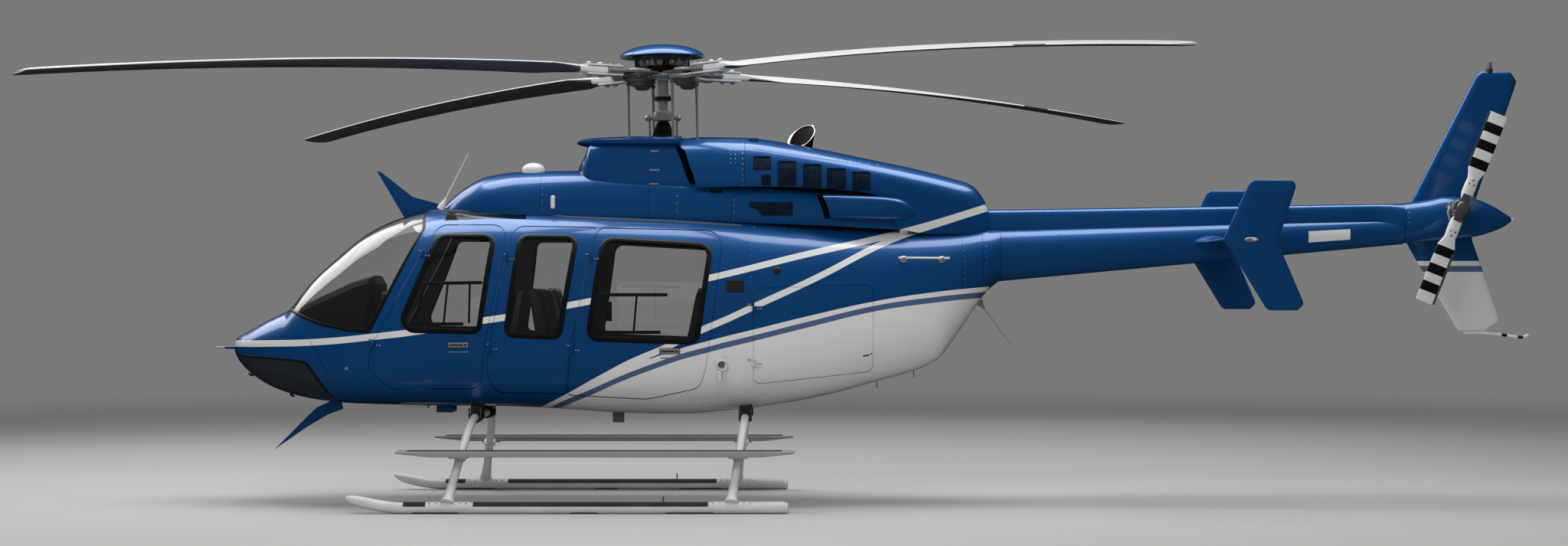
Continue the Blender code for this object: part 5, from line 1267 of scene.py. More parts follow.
# radius, chord, thickness
TAIL_BLADE = [
    (0.075, 0.070, 0.046), (0.12, 0.098, 0.044), (0.20, 0.098, 0.040), (0.245, 0.090, 0.032), (0.29, 0.118, 0.024),
    (0.325, 0.146, 0.020), (0.36, TAIL_CHORD, 0.019), (0.79, TAIL_CHORD, 0.014),
    (TAIL_RADIUS, TAIL_CHORD - 0.008, 0.006),
]
PAINT, DULL_, BRIGHT_, BLACK_ = range(4)
OUT = (0, -1, 0)  # the tail rotor faces left
bm = bmesh.new()
for sense in (-1, 1):
    rings = []
    for r, chord, thick in TAIL_BLADE:
        ring = []
        for turn in circle(28):
            rise = thick / 2 * sin(turn) * (1.2 + 0.4 * cos(turn))
            ring.append(tail_turn @ Vector((-chord / 2 * cos(turn), rise, sense * r)))
        rings.append(ring)
    add_rings(bm, rings, PAINT)
    lead = [tail_turn @ Vector((-sense * 0.0735, 0, sense * r)) for r in np.linspace(0.37, 0.795, 12)]
    add_sweep(bm, lead, flat_bar(0.009, 0.0045), [Vector((0, 1, 0))] * 12, DULL_)
    for x, z in ((-0.018, 0.20), (0.018, 0.20), (0.0, 0.235)):
        add_button(bm, tail_turn @ Vector((x, -0.020, sense * z)), OUT, 0.009, 0.006, BRIGHT_)
for y, radius, height in ((0.045, 0.050, 0.10), (-0.035, 0.030, 0.026)):
    drum = [(radius, 0), (radius, height * 0.9), (radius * 0.85, height)]
    add_turned(bm, drum, standing(tail_turn @ Vector((0, y, 0)), OUT), 32, DULL_)
add_block(bm, (-0.034, -0.030, -0.115), (0.034, 0.030, 0.115), DULL_, 0.008, tail_turn)
for k in range(6):
    turn = k * pi / 3 + 0.3
    spot = tail_turn @ Vector((0.040 * cos(turn), -0.031, 0.046 * sin(turn)))
    add_button(bm, spot, OUT, 0.009, 0.014, (BRIGHT_, BLACK_)[k % 2])
add_block(bm, (-0.058, -0.040, -0.020), (0.058, -0.026, 0.020), BLACK_, 0.005, tail_turn)
for sense in (-1, 1):
    for z in (0.075, 0.118):
        pin = [tail_turn @ Vector((sense * 0.042, y, sense * z * 0.6)) for y in (-0.035, 0.03)]
        add_bar(bm, pin, 0.008, BRIGHT_, 10)
    horn = ((0.045, 0.0, 0.13), (0.085, 0.01, 0.07), (0.085, 0.028, 0.02))
    add_bar(bm, [tail_turn @ Vector((sense * x, y, sense * z)) for x, y, z in horn], 0.009, BRIGHT_, 10)
ring = [tail_turn @ Vector((x, 0.035, z)) for x, z in arc_points(0.060, circle(32))]
add_bar(bm, ring, 0.007, BRIGHT_, 8, closed=True)
finishes = [blade_paint, DULL_STEEL, ALUMINIUM, DARK_METAL]
piece("tail_rotor_blades", bm, finishes, ["tail_rotor"], "tail_rotor_body")
print("tail rotor bands:", len(bands))

# %% [markdown]
# ## Landing gear
# Two aluminium skid tubes hang on two bent cross tubes, with a long flat step clamped to them. The
# skids carry a dark anti-slip strip on top and steel shoes below, where the ground wears them.

# %% Skids, cross tubes and steps
SKID_Y, SKID_TUBE, CROSS_TUBE = 1.2275, 0.0435, 0.0325
LEGS = {"front": (-2.915, -3.030), "rear": (-0.790, -0.880)}
GRIT = plain_finish("grit_walkway_strip", "#1c1c1c", "#3d3d3c", 3.0, 0.85, relief=0.0015)
SHOE = plain_finish("scuffed_steel_shoe", "#3f3d3a", "#8c8984", 5.0, 0.5, metallic=0.8, relief=0.001)
GEAR_WHITE = plain_finish("scuffed_white_gear_paint", "#bdbdbc", "#dedede", 6.0, 0.38, relief=0.0005, spread=0.15)
STEP_GREY = plain_finish("grey_step_paint", "#86878a", "#9c9d9f", 4.0, 0.5, relief=0.0005)


def leg_path(top_x, bottom_x):
    """The bend of a cross tube as a smooth curve through its measured points."""
    known = np.array([
        (-SKID_Y, 0.110), (-1.10, 0.280), (-0.98, 0.425), (-0.86, 0.545), (-0.72, 0.640), (-0.56, 0.688),
        (-0.38, 0.700), (0, 0.700),
    ])
    y = np.concatenate([np.linspace(-SKID_Y, -0.38, 40), [-0.2, 0.0]])
    z = eased(known[:, 0], known[:, 1], y)
    half = [(top_x + (bottom_x - top_x) * (0.700 - h) / 0.59, w, h) for w, h in zip(y, z)]
    return half + [(x, -w, h) for x, w, h in reversed(half[:-1])]


for word, (top_x, bottom_x) in LEGS.items():
    bm = bmesh.new()
    add_bar(bm, leg_path(top_x, bottom_x), CROSS_TUBE, sides=24)
    piece(f"cross_tube_{word}_tube", bm, [GEAR_WHITE], [f"cross_tube_{word}"])

# sections of what lies on the tube: a saddle, the anti-slip strip on top, the steel shoe below
SADDLE = arc_points(0.0470, np.linspace(-0.1, pi + 0.1, 20))
GRIP = arc_points(0.0455, np.linspace(0.30, 2.84, 14)) + arc_points(0.03, (2.39, 0.75))
WEAR = arc_points(0.0435, np.linspace(pi + 0.75, 2 * pi - 0.75, 10)) + arc_points(0.03, (-0.75, pi + 0.75))
COLLAR = [(0.055, 0.0), (0.052, 0.018), (0.043, 0.05), (0.038, 0.11), (0.036, 0.16), (0.0335, 0.17)]
SKID_REAR, SKID_BEND, SKID_RISE = -0.470, -3.30, 0.078
SKID_RUNS = [
    # section, its finish, and from where to where it lies
    (GRIP, 1, [(-3.37, -3.2), (-2.84, -1.06)]),
    (WEAR, 2, [(-3.30, -2.95), (-2.1, -1.9), (-1.38, -0.55)]),
]
for side, word in ((-1, "left"), (1, "right")):
    y = side * SKID_Y
    bm = bmesh.new()
    path = [(SKID_REAR, y, SKID_TUBE), (SKID_BEND, y, SKID_TUBE)]
    for t in np.linspace(0.08, 1, 16):
        rise = SKID_RISE * max(0, t - 0.15) ** 1.7 / 0.85**1.7
        path.append((SKID_BEND - 0.508 * t, y, SKID_TUBE + rise))
    add_bar(bm, path, SKID_TUBE, sides=28, scale=[1.0] * 12 + [1, 0.98, 0.93, 0.82, 0.62, 0.30])
    plug = [(SKID_TUBE, 0), (SKID_TUBE * 0.9, 0.012), (SKID_TUBE * 0.55, 0.020)]
    add_turned(bm, plug, standing((SKID_REAR, y, SKID_TUBE), (1, 0, 0)), 28)
    sleeve = [(x, y, SKID_TUBE + 0.003) for x in (-1.02, -0.485)]
    add_bar(bm, sleeve, SKID_TUBE + 0.0029, sides=28)
    for leg in LEGS.values():
        x = leg[1]
        add_sweep(bm, [(x - 0.17, y, SKID_TUBE), (x + 0.17, y, SKID_TUBE)], SADDLE, [UP] * 2)
        bend = leg_path(*leg)
        foot, knee = [Vector((bend[k][0], -side * bend[k][1], bend[k][2])) for k in (0, 6)]
        add_turned(bm, COLLAR, standing(foot - (knee - foot).normalized() * 0.035, knee - foot), 28)
        for dx in (-0.14, -0.09, 0.09, 0.14):
            for dy in (-0.030, 0.030):
                add_button(bm, (x + dx, y + dy, SKID_TUBE + 0.034), (0, dy, 0.03), 0.006, 0.005, 3)
    for section, finish, spans in SKID_RUNS:
        for span in spans:
            add_sweep(bm, [(x, y, SKID_TUBE) for x in span], section, [UP] * 2, finish)
    pin = [(-1.40, y + side * 0.02, z) for z in (0.08, 0.135)]
    add_bar(bm, pin, 0.005, 3, 10)
    piece(f"skid_{word}_tube", bm, [GEAR_WHITE, GRIT, SHOE, DULL_STEEL], [f"skid_{word}"])

    bm = bmesh.new()
    near, far = sorted((side * 1.0, side * 1.2))
    plan = [(-3.44, 0.468), (-0.405, 0.468), (-0.405, 0.452), (-0.65, 0.424), (-3.18, 0.424), (-3.44, 0.452)]
    widths = ((near, 0.004), (near + 0.006, 0.0), (far - 0.006, 0.0), (far, 0.004))
    add_rings(bm, [[(x, w, z) for x, z in grown(plan, -inset)] for w, inset in widths])
    add_block(bm, (-3.36, near + 0.018, 0.462), (-0.50, far - 0.018, 0.4705), 1, 0.001)
    for leg in LEGS.values():
        spot = min(leg_path(*leg), key=lambda p: abs(p[2] - 0.415) + (p[1] * side < 0) * 9)
        clamp = [(0.047, -0.018), (0.049, 0.0), (0.047, 0.018)]
        add_turned(bm, clamp, standing(spot, (0, side * -0.65, 0.75)), 28, 2)
        low, high = (spot[0] - 0.075, side * 1.1 - 0.02, 0.408), (spot[0] + 0.075, side * 1.1 + 0.02, 0.424)
        add_block(bm, low, high, 2, 0.003)
    piece(f"step_{word}_plank", bm, [STEP_GREY, GRIT, GEAR_WHITE], [f"step_{word}"])
bm = bmesh.new()
band = [(0.0335, -0.022), (0.046, -0.020), (0.048, 0), (0.046, 0.020), (0.0335, 0.022)]
for top_x, _ in LEGS.values():
    for side in (-1, 1):
        for y in (0.26, 0.40, 0.50):
            spot = Vector((top_x, side * y, 0.700 if y < 0.45 else 0.695))
            add_turned(bm, band, standing(spot, (0, 1, 0)), 24)
        for half, y, low, high in ((0.05, 0.30, 0.735, 0.80), (0.035, 0.47, 0.70, 0.79)):
            middle = side * y
            add_block(bm, (top_x - half, middle - 0.03, low), (top_x + half, middle + 0.03, high), 0, 0.006)
        for dx in (-0.045, 0.045):
            add_bar(bm, [(top_x + dx, side * 0.50, z) for z in (0.665, 0.77)], 0.007, 1, 10)
piece("cross_tube_clamps", bm, [DARK_METAL, DULL_STEEL])
print("gear pieces:", len(LEGS) + 5)

# %% [markdown]
# ## Solids that stay
# Some parts need no finer shape. The wire cutters are flat steel blades above and below the nose,
# which cut a cable before it can reach the rotor, and floor and engine hardly show. Their solids
# stay as the model has them and only take a finish.

# %% Finishes for the solids that stay
STAYING = {
    "wire_cutter_upper": PLAIN_BLUE,
    "wire_cutter_lower": PLAIN_BLUE,
    "cabin_floor": FLOORING,
    "engine_and_gearbox": DARK_METAL,
}
for node, finish in STAYING.items():
    for holder in bpy.data.objects[node].material_slots:
        holder.material = finish
print("solids with a new finish:", len(STAYING))

# %% [markdown]
# ## Main rotor
# Four composite blades, light grey with painted shade on their undersides, hang in the grips of a
# flat yoke. Above it is the blue cap; below it four dampers, the mast and the turning ring with its
# pitch links. All of it is made in the frame of the rotor's own axis, which leans one degree forward.

# %% Rotor blades
HUB_Z, MAST_TILT = 3.445, radians(-1.0)
ROTOR = shift((MAST_X, 0, HUB_Z)) @ Matrix.Rotation(MAST_TILT, 4, "Y")
BLADE_ONE, BLADE_DROOP, BLADE_CHORD = radians(221), 0.0107, 0.273
BLADE_ROOT, BLADE_TIP = 0.5853, 5.457
ARMS = [ROTOR @ Matrix.Rotation(BLADE_ONE + k * pi / 2, 4, "Z") for k in range(4)]
BLADE_TOP = plain_finish("light_grey_blade_paint", "#c3c4c4", "#dbdcdb", 8.0, 0.34, relief=0.0004)
# painted shade: the undersides of the blades are drawn dark grey
BLADE_SHADE_UNDER = plain_finish("blade_underside_painted_shade", "#333433", "#464746", 8.0, 0.5, relief=0.0004)
EDGE_STEEL = plain_finish("worn_steel_edge_strip", "#8f8f8d", "#bebebb", 4.0, 0.3, metallic=0.9)
# radius, chord, thickness, share of a wing section, pitch in degrees
BLADE_ROWS = np.array([
    (BLADE_ROOT, 0.110, 0.056, 0.0, 0.0),
    (0.80, 0.115, 0.056, 0.0, 0.0),
    (0.95, 0.190, 0.046, 0.6, 8.0),
    (1.20, BLADE_CHORD, 0.034, 1.0, 13.0),
    (2.50, BLADE_CHORD, 0.033, 1.0, 10.0),
    (4.00, BLADE_CHORD, 0.032, 1.0, 6.5),
    (5.30, BLADE_CHORD, 0.030, 1.0, 4.0),
    (5.44, 0.250, 0.024, 1.0, 4.0),
    (BLADE_TIP, 0.235, 0.010, 1.0, 4.0),
])
BLADE_SIDES = 36


def droop(r):
    return BLADE_DROOP * max(0.0, r - 0.8) ** 2


def blade_ring(arm, r):
    """One section of a blade: a rounded box at the root that turns into a wing section."""
    chord, thick, wing, pitch = (eased(BLADE_ROWS[:, 0], BLADE_ROWS[:, c], r) for c in range(1, 5))
    tilt, ring = radians(float(pitch)), []
    for k in range(BLADE_SIDES):
        turn = 2 * pi * (k + 0.5) / BLADE_SIDES
        c, q = cos(turn), sin(turn)
        flat = (copysign(abs(c) ** 0.4, c), copysign(abs(q) ** 0.4, q))
        across = (flat[0] * (1 - wing) + c * wing) * chord / 2 - 0.06 * wing * chord
        up = (flat[1] * (1 - wing) + q * (1.15 + 0.45 * c) * wing) * thick / 2
        place = (r, across * cos(tilt) - up * sin(tilt), across * sin(tilt) + up * cos(tilt) - droop(r))
        ring.append(arm @ Vector([float(v) for v in place]))
    return ring


def blade_form(arm):
    """A blade: light grey above, painted shade below, a steel strip on its leading edge and four bolts at its root."""
    spans = [np.linspace(BLADE_ROOT, 1.3, 24), np.linspace(1.3, 5.3, 40), BLADE_ROWS[-3:, 0], [5.40]]
    reach = np.unique(np.concatenate(spans))
    bm = bmesh.new()
    rings = [blade_ring(arm, r) for r in reach]
    for number, face in enumerate(add_rings(bm, rings)[: (len(rings) - 1) * BLADE_SIDES]):
        turn = 2 * pi * (number % BLADE_SIDES + 1) / BLADE_SIDES
        if reach[number // BLADE_SIDES] > 1.15:
            # faces that look down take the dark grey of painted shade
            under = sin(turn) < -0.15
            face.material_index = 2 if under and cos(turn) > 0.93 else int(under)
        elif reach[number // BLADE_SIDES] > 0.85 and sin(turn) < 0:
            face.material_index = 1
    for r in (0.625, 0.735):
        for sense in (-1, 1):
            place, up = arm @ Vector((r, 0, sense * 0.046)), arm.to_3x3() @ Vector((0, 0, sense))
            add_button(bm, place, up, 0.020, 0.016, 3, 16)
    tab = [arm @ Vector((r, -0.150, -droop(r) - 0.012)) for r in (4.05, 4.35)]
    add_sweep(bm, tab, flat_bar(0.018, 0.001), [UP] * 2, 1)
    return bm


for number, arm in enumerate(ARMS):
    name, finishes = f"main_blade_{number + 1}", [BLADE_TOP, BLADE_SHADE_UNDER, EDGE_STEEL, STEEL]
    piece(name, blade_form(arm), finishes, [f"rotor_blade_{number + 1}"], "main_rotor", 50)
print("blade reach:", BLADE_TIP)

# %% Rotor head, mast and swashplate
LINK_RADIUS, LINK_PHASE = 0.285, radians(-22.6)
bm = bmesh.new()
cap = [
    (0.0, 0.228), (0.06, 0.227), (0.12, 0.222), (0.18, 0.213), (0.24, 0.198), (0.285, 0.181), (0.320, 0.160),
    (0.338, 0.143), (0.345, 0.132), (0.335, 0.125), (0.30, 0.130), (0.20, 0.1253), (0.0, 0.1253),
]
add_turned(bm, cap, ROTOR, 96)
piece("hub_cap_dome", bm, [PLAIN_BLUE], ["hub_cap"], "main_rotor", 50)

bm = bmesh.new()
CAST, SILVER, BLACK_RUBBER, PALE, DULL = range(5)
cone = [(0.0, 0.1245), (0.244, 0.1245), (0.240, 0.110), (0.150, 0.060), (0.095, 0.030), (0.077, 0.012), (0.0, 0.012)]
add_turned(bm, cone, ROTOR, 48, CAST)
# the mast from its collar down: radius, height above the yoke
mast = [
    (0.0, -0.02), (0.150, -0.02), (0.150, -0.032), (0.060, -0.045), (0.046, -0.060), (0.046, -0.175),
    (0.065, -0.180), (0.065, -0.222), (0.040, -0.226), (0.036, -0.300), (0.075, -0.315), (0.080, -0.340),
    (0.075, -0.383), (0.036, -0.390), (0.0, -0.392),
]
add_turned(bm, mast, ROTOR, 48, SILVER)
boot = [(0.0, -0.385), (0.040, -0.392)]
for k in range(9):
    boot += [(0.046 + k * 0.0045, -0.398 - k * 0.0125), (0.058 + k * 0.0045, -0.404 - k * 0.0125)]
add_turned(bm, boot + [(0.086, -0.512), (0.050, -0.516), (0.050, -0.741), (0.0, -0.742)], ROTOR, 48, BLACK_RUBBER)
add_turned(bm, [(0.060, -0.188), (0.067, -0.191), (0.067, -0.221), (0.060, -0.224)], ROTOR, 48, BLACK_RUBBER)
# the cross bar of the drive links, with a ball at each end and a rod down to the ring
drive = ROTOR @ Matrix.Rotation(radians(8), 4, "Z")
ball = [(0.026 * sin(t), -0.026 * cos(t)) for t in np.linspace(0.02, pi - 0.02, 12)]
for sense in (-1, 1):
    add_bar(bm, [drive @ Vector((sense * x, 0, -0.362)) for x in (0.06, 0.112)], 0.015, SILVER, 16)
    add_turned(bm, ball, drive @ shift((sense * 0.122, 0, -0.362)), 24, SILVER)
    add_bar(bm, [drive @ Vector((sense * 0.110, 0, z)) for z in (-0.375, -0.500, -0.642)], 0.009, SILVER, 12)
# bolts and lugs round the cone under the cap
nut = [(0.0, -0.004), (0.026, -0.004), (0.026, 0.006), (0.012, 0.014), (0.0, 0.014)]
nut_place = shift((0.185, 0, 0.078)) @ Matrix.Rotation(radians(128), 4, "Y")
for k in range(12):
    out = ROTOR @ Matrix.Rotation(k * pi / 6 + 0.2, 4, "Z")
    add_block(bm, (0.105, -0.011, 0.050), (0.222, 0.011, 0.118), SILVER if k % 3 else CAST, 0.004, out)
    add_turned(bm, nut, out @ Matrix.Rotation(pi / 12, 4, "Z") @ nut_place, 20, SILVER)
# each arm: yoke plate, the plates and core of its grip, its damper with bolts, and the pitch horn
GRIP_BLOCKS = [
    ((0.44, -0.062, 0.0283), (0.78, 0.062, 0.042), PALE),
    ((0.44, -0.062, -0.042), (0.78, 0.062, -0.0283), PALE),
    ((0.435, -0.058, -0.0275), (0.582, 0.058, 0.0275), SILVER),
    ((0.20, -0.040, 0.0095), (0.30, 0.040, 0.030), PALE),
]
DAMPER = [
    (0.0, -0.010), (0.100, -0.012), (0.112, -0.022), (0.112, -0.034), (0.090, -0.040), (0.084, -0.056),
    (0.094, -0.062), (0.090, -0.076), (0.066, -0.084), (0.060, -0.108), (0.040, -0.118), (0.0, -0.120),
]
BOLT = [(0.0, -0.012), (0.010, -0.012), (0.010, 0.002), (0.0, 0.002)]
LID = [(0.0, 0.014), (0.050, 0.012), (0.060, 0.0095), (0.0, 0.009)]
EYE = [(0.0, 0.022), (0.022, 0.020), (0.024, 0), (0.022, -0.020), (0.0, -0.0246)]
for arm in ARMS:
    add_block(bm, (0.10, -0.075, -0.009), (0.58, 0.075, 0.009), SILVER, 0.004, arm)
    for low, high, mat in GRIP_BLOCKS:
        add_block(bm, low, high, mat, 0.006, arm)
    add_turned(bm, DAMPER, arm @ shift((0.262, 0, 0)), 36, DULL)
    for k in range(6):
        at = arm @ shift((0.262, 0, -0.034)) @ Matrix.Rotation(k * pi / 3, 4, "Z")
        add_turned(bm, BOLT, at @ shift((0.100, 0, 0)), 6, SILVER)
    add_turned(bm, LID, arm @ shift((0.262, 0, 0)), 30, SILVER)
    for x, y in ((0.47, -0.04), (0.47, 0.04), (0.55, -0.04), (0.55, 0.04)):
        add_button(bm, arm @ Vector((x, y, 0.043)), arm.to_3x3() @ UP, 0.011, 0.010, SILVER)
    at = arm @ Matrix.Rotation(LINK_PHASE, 4, "Z") @ shift((LINK_RADIUS, 0, -0.045))
    horn = [arm @ Vector((0.49, -0.02, -0.036)), arm @ Vector((0.40, -0.07, -0.050)), at.translation]
    add_bar(bm, horn, 0.019, SILVER, 14, [1.15, 1.0, 0.85])
    add_turned(bm, EYE, at, 20, SILVER)
finishes = [DARK_METAL, ALUMINIUM, RUBBER, WHITE, DULL_STEEL]
piece("rotor_head_and_mast", bm, finishes, ["rotor_head"], "main_rotor")

bm = bmesh.new()
ring_profile = [(0.095, -0.638), (0.228, -0.638), (0.236, -0.645), (0.236, -0.672), (0.228, -0.680), (0.095, -0.680)]
rings = [[ROTOR @ Vector((r * cos(t), r * sin(t), z)) for r, z in ring_profile] for t in circle(64)]
add_rings(bm, rings, 0, caps=False, closed=True)
knuckle = [(0.0, 0.018), (0.014, 0.015), (0.020, 0.006), (0.020, -0.006), (0.014, -0.015), (0.0, -0.018)]
for arm in ARMS:
    at = arm @ Matrix.Rotation(LINK_PHASE, 4, "Z")
    add_bar(bm, [at @ Vector((x, 0, -0.660)) for x in (0.20, LINK_RADIUS - 0.012)], 0.016, 0, 14)
    link = [at @ Vector((LINK_RADIUS, 0, z)) for z in (-0.640, -0.560, -0.545, -0.180, -0.165, -0.090)]
    add_bar(bm, link, 0.0100, 1, 14, [1.2, 1.2, 1, 1, 1.2, 1.2])
    for z in (-0.660, -0.086):
        add_turned(bm, knuckle, at @ shift((LINK_RADIUS, 0, z)), 18, 0)
    for z in (-0.57, -0.16):
        add_turned(bm, [(0.012, -0.010), (0.012, 0.010)], at @ shift((LINK_RADIUS, 0, z)), 6, 0)
piece("swashplate_and_links", bm, [DULL_STEEL, ALUMINIUM], ["swashplate_rotating"], "main_rotor")
print("pitch links:", len(ARMS))

# %% [markdown]
# ## Cabin
# Seats and panel show only through the windows. The seat pads are foam under wool cloth. A
# box of the right size is blown up a little with a cloth simulation, so its faces crown and its
# sides pull in between the corners, and the same pads are used on all seats.


# %% Seat pads
def plump(name, size, cap=0.014, steps=14):
    """A pad blown up by a cloth simulation under light pressure, with its swelling capped."""
    bm = bmesh.new()
    half = Vector(size) / 2 - Vector((0.007, 0.007, 0.007))
    add_block(bm, -half, half, 0, 0.028)
    start = bpy.data.objects.new(name, mesh_from(bm))
    SCENE.collection.objects.link(start)
    start.modifiers.new("grid", "REMESH").voxel_size = 0.008
    rest = bpy.data.meshes.new_from_object(start.evaluated_get(bpy.context.evaluated_depsgraph_get()))
    start.modifiers.clear()
    start.data = rest
    soft = start.modifiers.new("foam", "CLOTH")
    soft.settings.use_pressure = True
    soft.settings.uniform_pressure_force = 4.0
    soft.settings.effector_weights.gravity = 0.0
    soft.settings.quality = 3
    soft.point_cache.frame_start, soft.point_cache.frame_end = 1, steps
    for frame_number in range(1, steps + 1):
        SCENE.frame_set(frame_number)
    done = bpy.data.meshes.new_from_object(start.evaluated_get(bpy.context.evaluated_depsgraph_get()))
    before = read(rest.vertices, "co", 3)
    move = read(done.vertices, "co", 3) - before
    length = np.linalg.norm(move, axis=1, keepdims=True)
    move *= np.minimum(1.0, cap / np.maximum(length, 1e-9))
    done.vertices.foreach_set("co", (before + move).ravel())
    bpy.data.objects.remove(start)
    SCENE.frame_set(1)
    print(name, "faces:", len(done.polygons), "swell in mm before the cap:", round(float(length.max()) * 1000))
    return done


SEAT_PAD, BACK_PAD = plump("seat_pad_form", (0.40, 0.42, 0.095)), plump("back_pad_form", (0.085, 0.42, 0.47))
FLOOR_TOP = 0.905
# side view of a seat's frame, aft and up from its place on the floor
SEAT_SIDE = [
    (-0.235, 0.002), (-0.235, 0.285), (0.18, 0.262), (0.268, 0.70), (0.30, 0.79), (0.335, 0.805), (0.375, 0.79),
    (0.29, 0.29), (0.24, 0.002),
]
# name, station, middle, half width, faces aft, places
SEATS = [
    ("pilot_seat", -3.02, 0.32, 0.235, False, 1),
    ("copilot_seat", -3.02, -0.32, 0.235, False, 1),
    ("club_seats", -2.12, 0.0, 0.54, True, 2),
    ("rear_bench", -1.37, 0.0, 0.54, False, 3),
]


def stretched(mesh, width, place):
    """A copy of a pad, scaled across to its place and put where the seat holds it."""
    copy = mesh.copy()
    copy.transform(place @ Matrix.Diagonal((1, width / 0.42, 1, 1)))
    return copy


for name, x, y, half, faces_aft, places in SEATS:
    sense = -1 if faces_aft else 1
    seat_at = shift((x, y, FLOOR_TOP)) @ Matrix.Diagonal((sense, 1, 1, 1))
    bm = bmesh.new()
    shape = [(x + sense * a, FLOOR_TOP + b) for a, b in SEAT_SIDE]
    sides = ((y - half, 0.010), (y - half + 0.012, 0.0), (y + half - 0.012, 0.0), (y + half, 0.010))
    add_rings(bm, [[(a, w, b) for a, b in (grown(shape, -inset) if inset else shape)] for w, inset in sides])
    width = 2 * half / places - 0.02
    for place in range(places):
        middle = -half + (place + 0.5) * 2 * half / places
        low_at = seat_at @ shift((-0.04, middle, 0.318)) @ Matrix.Rotation(radians(3.5), 4, "Y")
        back_at = seat_at @ shift((0.205, middle, 0.575)) @ Matrix.Rotation(radians(11.5), 4, "Y")
        for word, pad, at in (("seat", SEAT_PAD, low_at), ("back", BACK_PAD, back_at)):
            cushion = f"{name}_{word}_cushion_{place + 1}"
            made = place_mesh(cushion, stretched(pad, width, at), [CLOTH], crease=60)
            reach, rise = (0.190, width / 2 - 0.012) if word == "seat" else (width / 2 - 0.012, 0.225)
            loop = arcs([(-reach, rise, 0.04), (reach, rise, 0.04), (reach, -rise, 0.04), (-reach, -rise, 0.04)], 6)
            for edge in (-0.036, 0.036):
                piping = [at @ Vector((a, b, edge) if word == "seat" else (edge, a, b)) for a, b in loop]
                add_bar(bm, piping, 0.004, 1, 8, closed=True)
    piece(f"{name}_frame_and_piping", bm, [TRIM, WEBBING], [name], crease=30)
print("cushions:", 2 * sum(seat[-1] for seat in SEATS))

# %% Instrument panel
PANEL = [
    (-4.22, 0.95), (-4.33, 1.30), (-4.39, 1.50), (-4.362, 1.562), (-4.193, 1.645), (-3.925, 1.768), (-3.80, 1.808),
    (-3.755, 1.815), (-3.714, 1.75), (-3.712, 1.64), (-3.745, 1.52), (-3.785, 1.38), (-3.63, 1.12),
    (-3.60, 0.9055), (-4.00, 0.9055),
]
lowest = min(b for _, b in PANEL)
rings = []
for w, inset in ((0.34, 0.060), (0.30, 0.022), (0.22, 0.006), (0.12, 0.0)):
    rings.append([(a, -w, max(b, lowest)) for a, b in (grown(PANEL, -inset) if inset else PANEL)])
rings += [[(a, -w, b) for a, w, b in ring] for ring in reversed(rings)]
bm = bmesh.new()
add_rings(bm, rings)
# across, up and radius of each instrument on the panel's face
DIALS = [(y, 0.13, 0.040) for y in (-0.15, -0.05, 0.05, 0.15)] + [(-0.15, 0.03, 0.040), (0.15, 0.03, 0.040)]
DIALS += [(y, -0.08, 0.028) for y in (-0.16, -0.09, 0.09, 0.16)]
face_at = shift((-3.743, 0, 1.52)) @ Matrix.Rotation(radians(106), 4, "Y")
for y, z, radius in DIALS:
    bezel = [(radius + 0.005, 0.0), (radius + 0.005, 0.006), (radius, 0.008), (radius - 0.002, 0.003)]
    add_turned(bm, bezel, face_at @ shift((-z, y, 0)), 28, 1)
for low, high in ((-0.080, 0.030), (0.045, 0.135)):
    add_block(bm, (low, -0.085, -0.002), (high, 0.085, 0.006), 2, 0.003, face_at)
piece("instrument_hood", bm, [GLARE, DULL_STEEL, NYLON], ["instrument_panel"], crease=30)
print("panel instruments:", len(DIALS))

# %% [markdown]
# ## Seals, rails, hinges and handles
# Black rubber holds each window in its frame and stands 6 mm proud. Strips like these follow the
# skin, so each is a small section swept along an outline that is laid on the section table. Hinge
# leaves are bent strips with a knuckle, and the levers are small blocks with eased edges.


# %% Window seals and rails
def add_strip(bm, outline, side, half, height, mat=0, closed=True, table=None, step=0.02):
    """A strip of a width and a height that follows an outline or a line over the skin."""
    path, ups = skin_path(outline, side, table, step, closed)
    add_sweep(bm, path, strip(half, height), ups, mat, closed)


# the black rails inside each kind of window: points in side view
RAILS = {
    "crew": [
        [(-3.282, 1.749), (-2.834, 1.755)], [(-3.282, 1.743), (-3.341, 1.529), (-3.407, 1.427)],
        [(-3.400, 1.433), (-2.978, 1.433)], [(-3.103, 1.745), (-3.133, 1.430)], [(-2.930, 1.749), (-2.935, 1.440)],
    ],
    "passenger": [
        [(-1.910, 1.660), (-1.391, 1.660)], [(-1.630, 1.655), (-1.654, 1.368)], [(-1.930, 1.368), (-1.445, 1.368)],
    ],
    "litter": [],
}
for name, (outline, window, side) in DOORS.items():
    # the filler that half closes the gap round each leaf, sprayed with the skin
    path, ups = skin_path(grown(arcs(outline), DOOR_GAP / 2), side, out=-0.006 if window else -0.0025)
    bm = bmesh.new()
    add_sweep(bm, path, [(-0.003, -0.005), (0.003, -0.005), (0.003, 0.0), (-0.003, 0.0)], ups, 0, True)
    piece(f"{name}_edge_seal", bm, [LINED_BLUE], body=f"{name}_body")
    if window:
        bm = bmesh.new()
        add_strip(bm, arcs(window), side, 0.021, 0.006)
        for rail in RAILS[name.split("_")[0]] if side < 0 else ():
            wide = 0.013 if abs(rail[-1][0] - rail[0][0]) > 0.3 else 0.008  # level rails are broader
            add_strip(bm, rail, side, wide, 0.003, 1, closed=False, step=0.03)
        if name == "passenger_door_left":
            catch = standing(*skin_place(-1.845, 1.53, side))
            add_block(bm, (-0.022, -0.075, -0.004), (0.022, 0.075, 0.012), 1, 0.004, catch)
        piece(f"{name}_window_seal", bm, [RUBBER, NYLON], body=f"{name}_body")
bm = bmesh.new()
add_strip(bm, arcs(LITTER_WINDOW), 1, 0.021, 0.006)
CHIN_EDGE = [(-4.850, 1.181), (-4.300, 1.1450), (-4.255, 1.136), (-4.222, 1.112), (-4.190, 1.064), (-4.052, 0.864)]
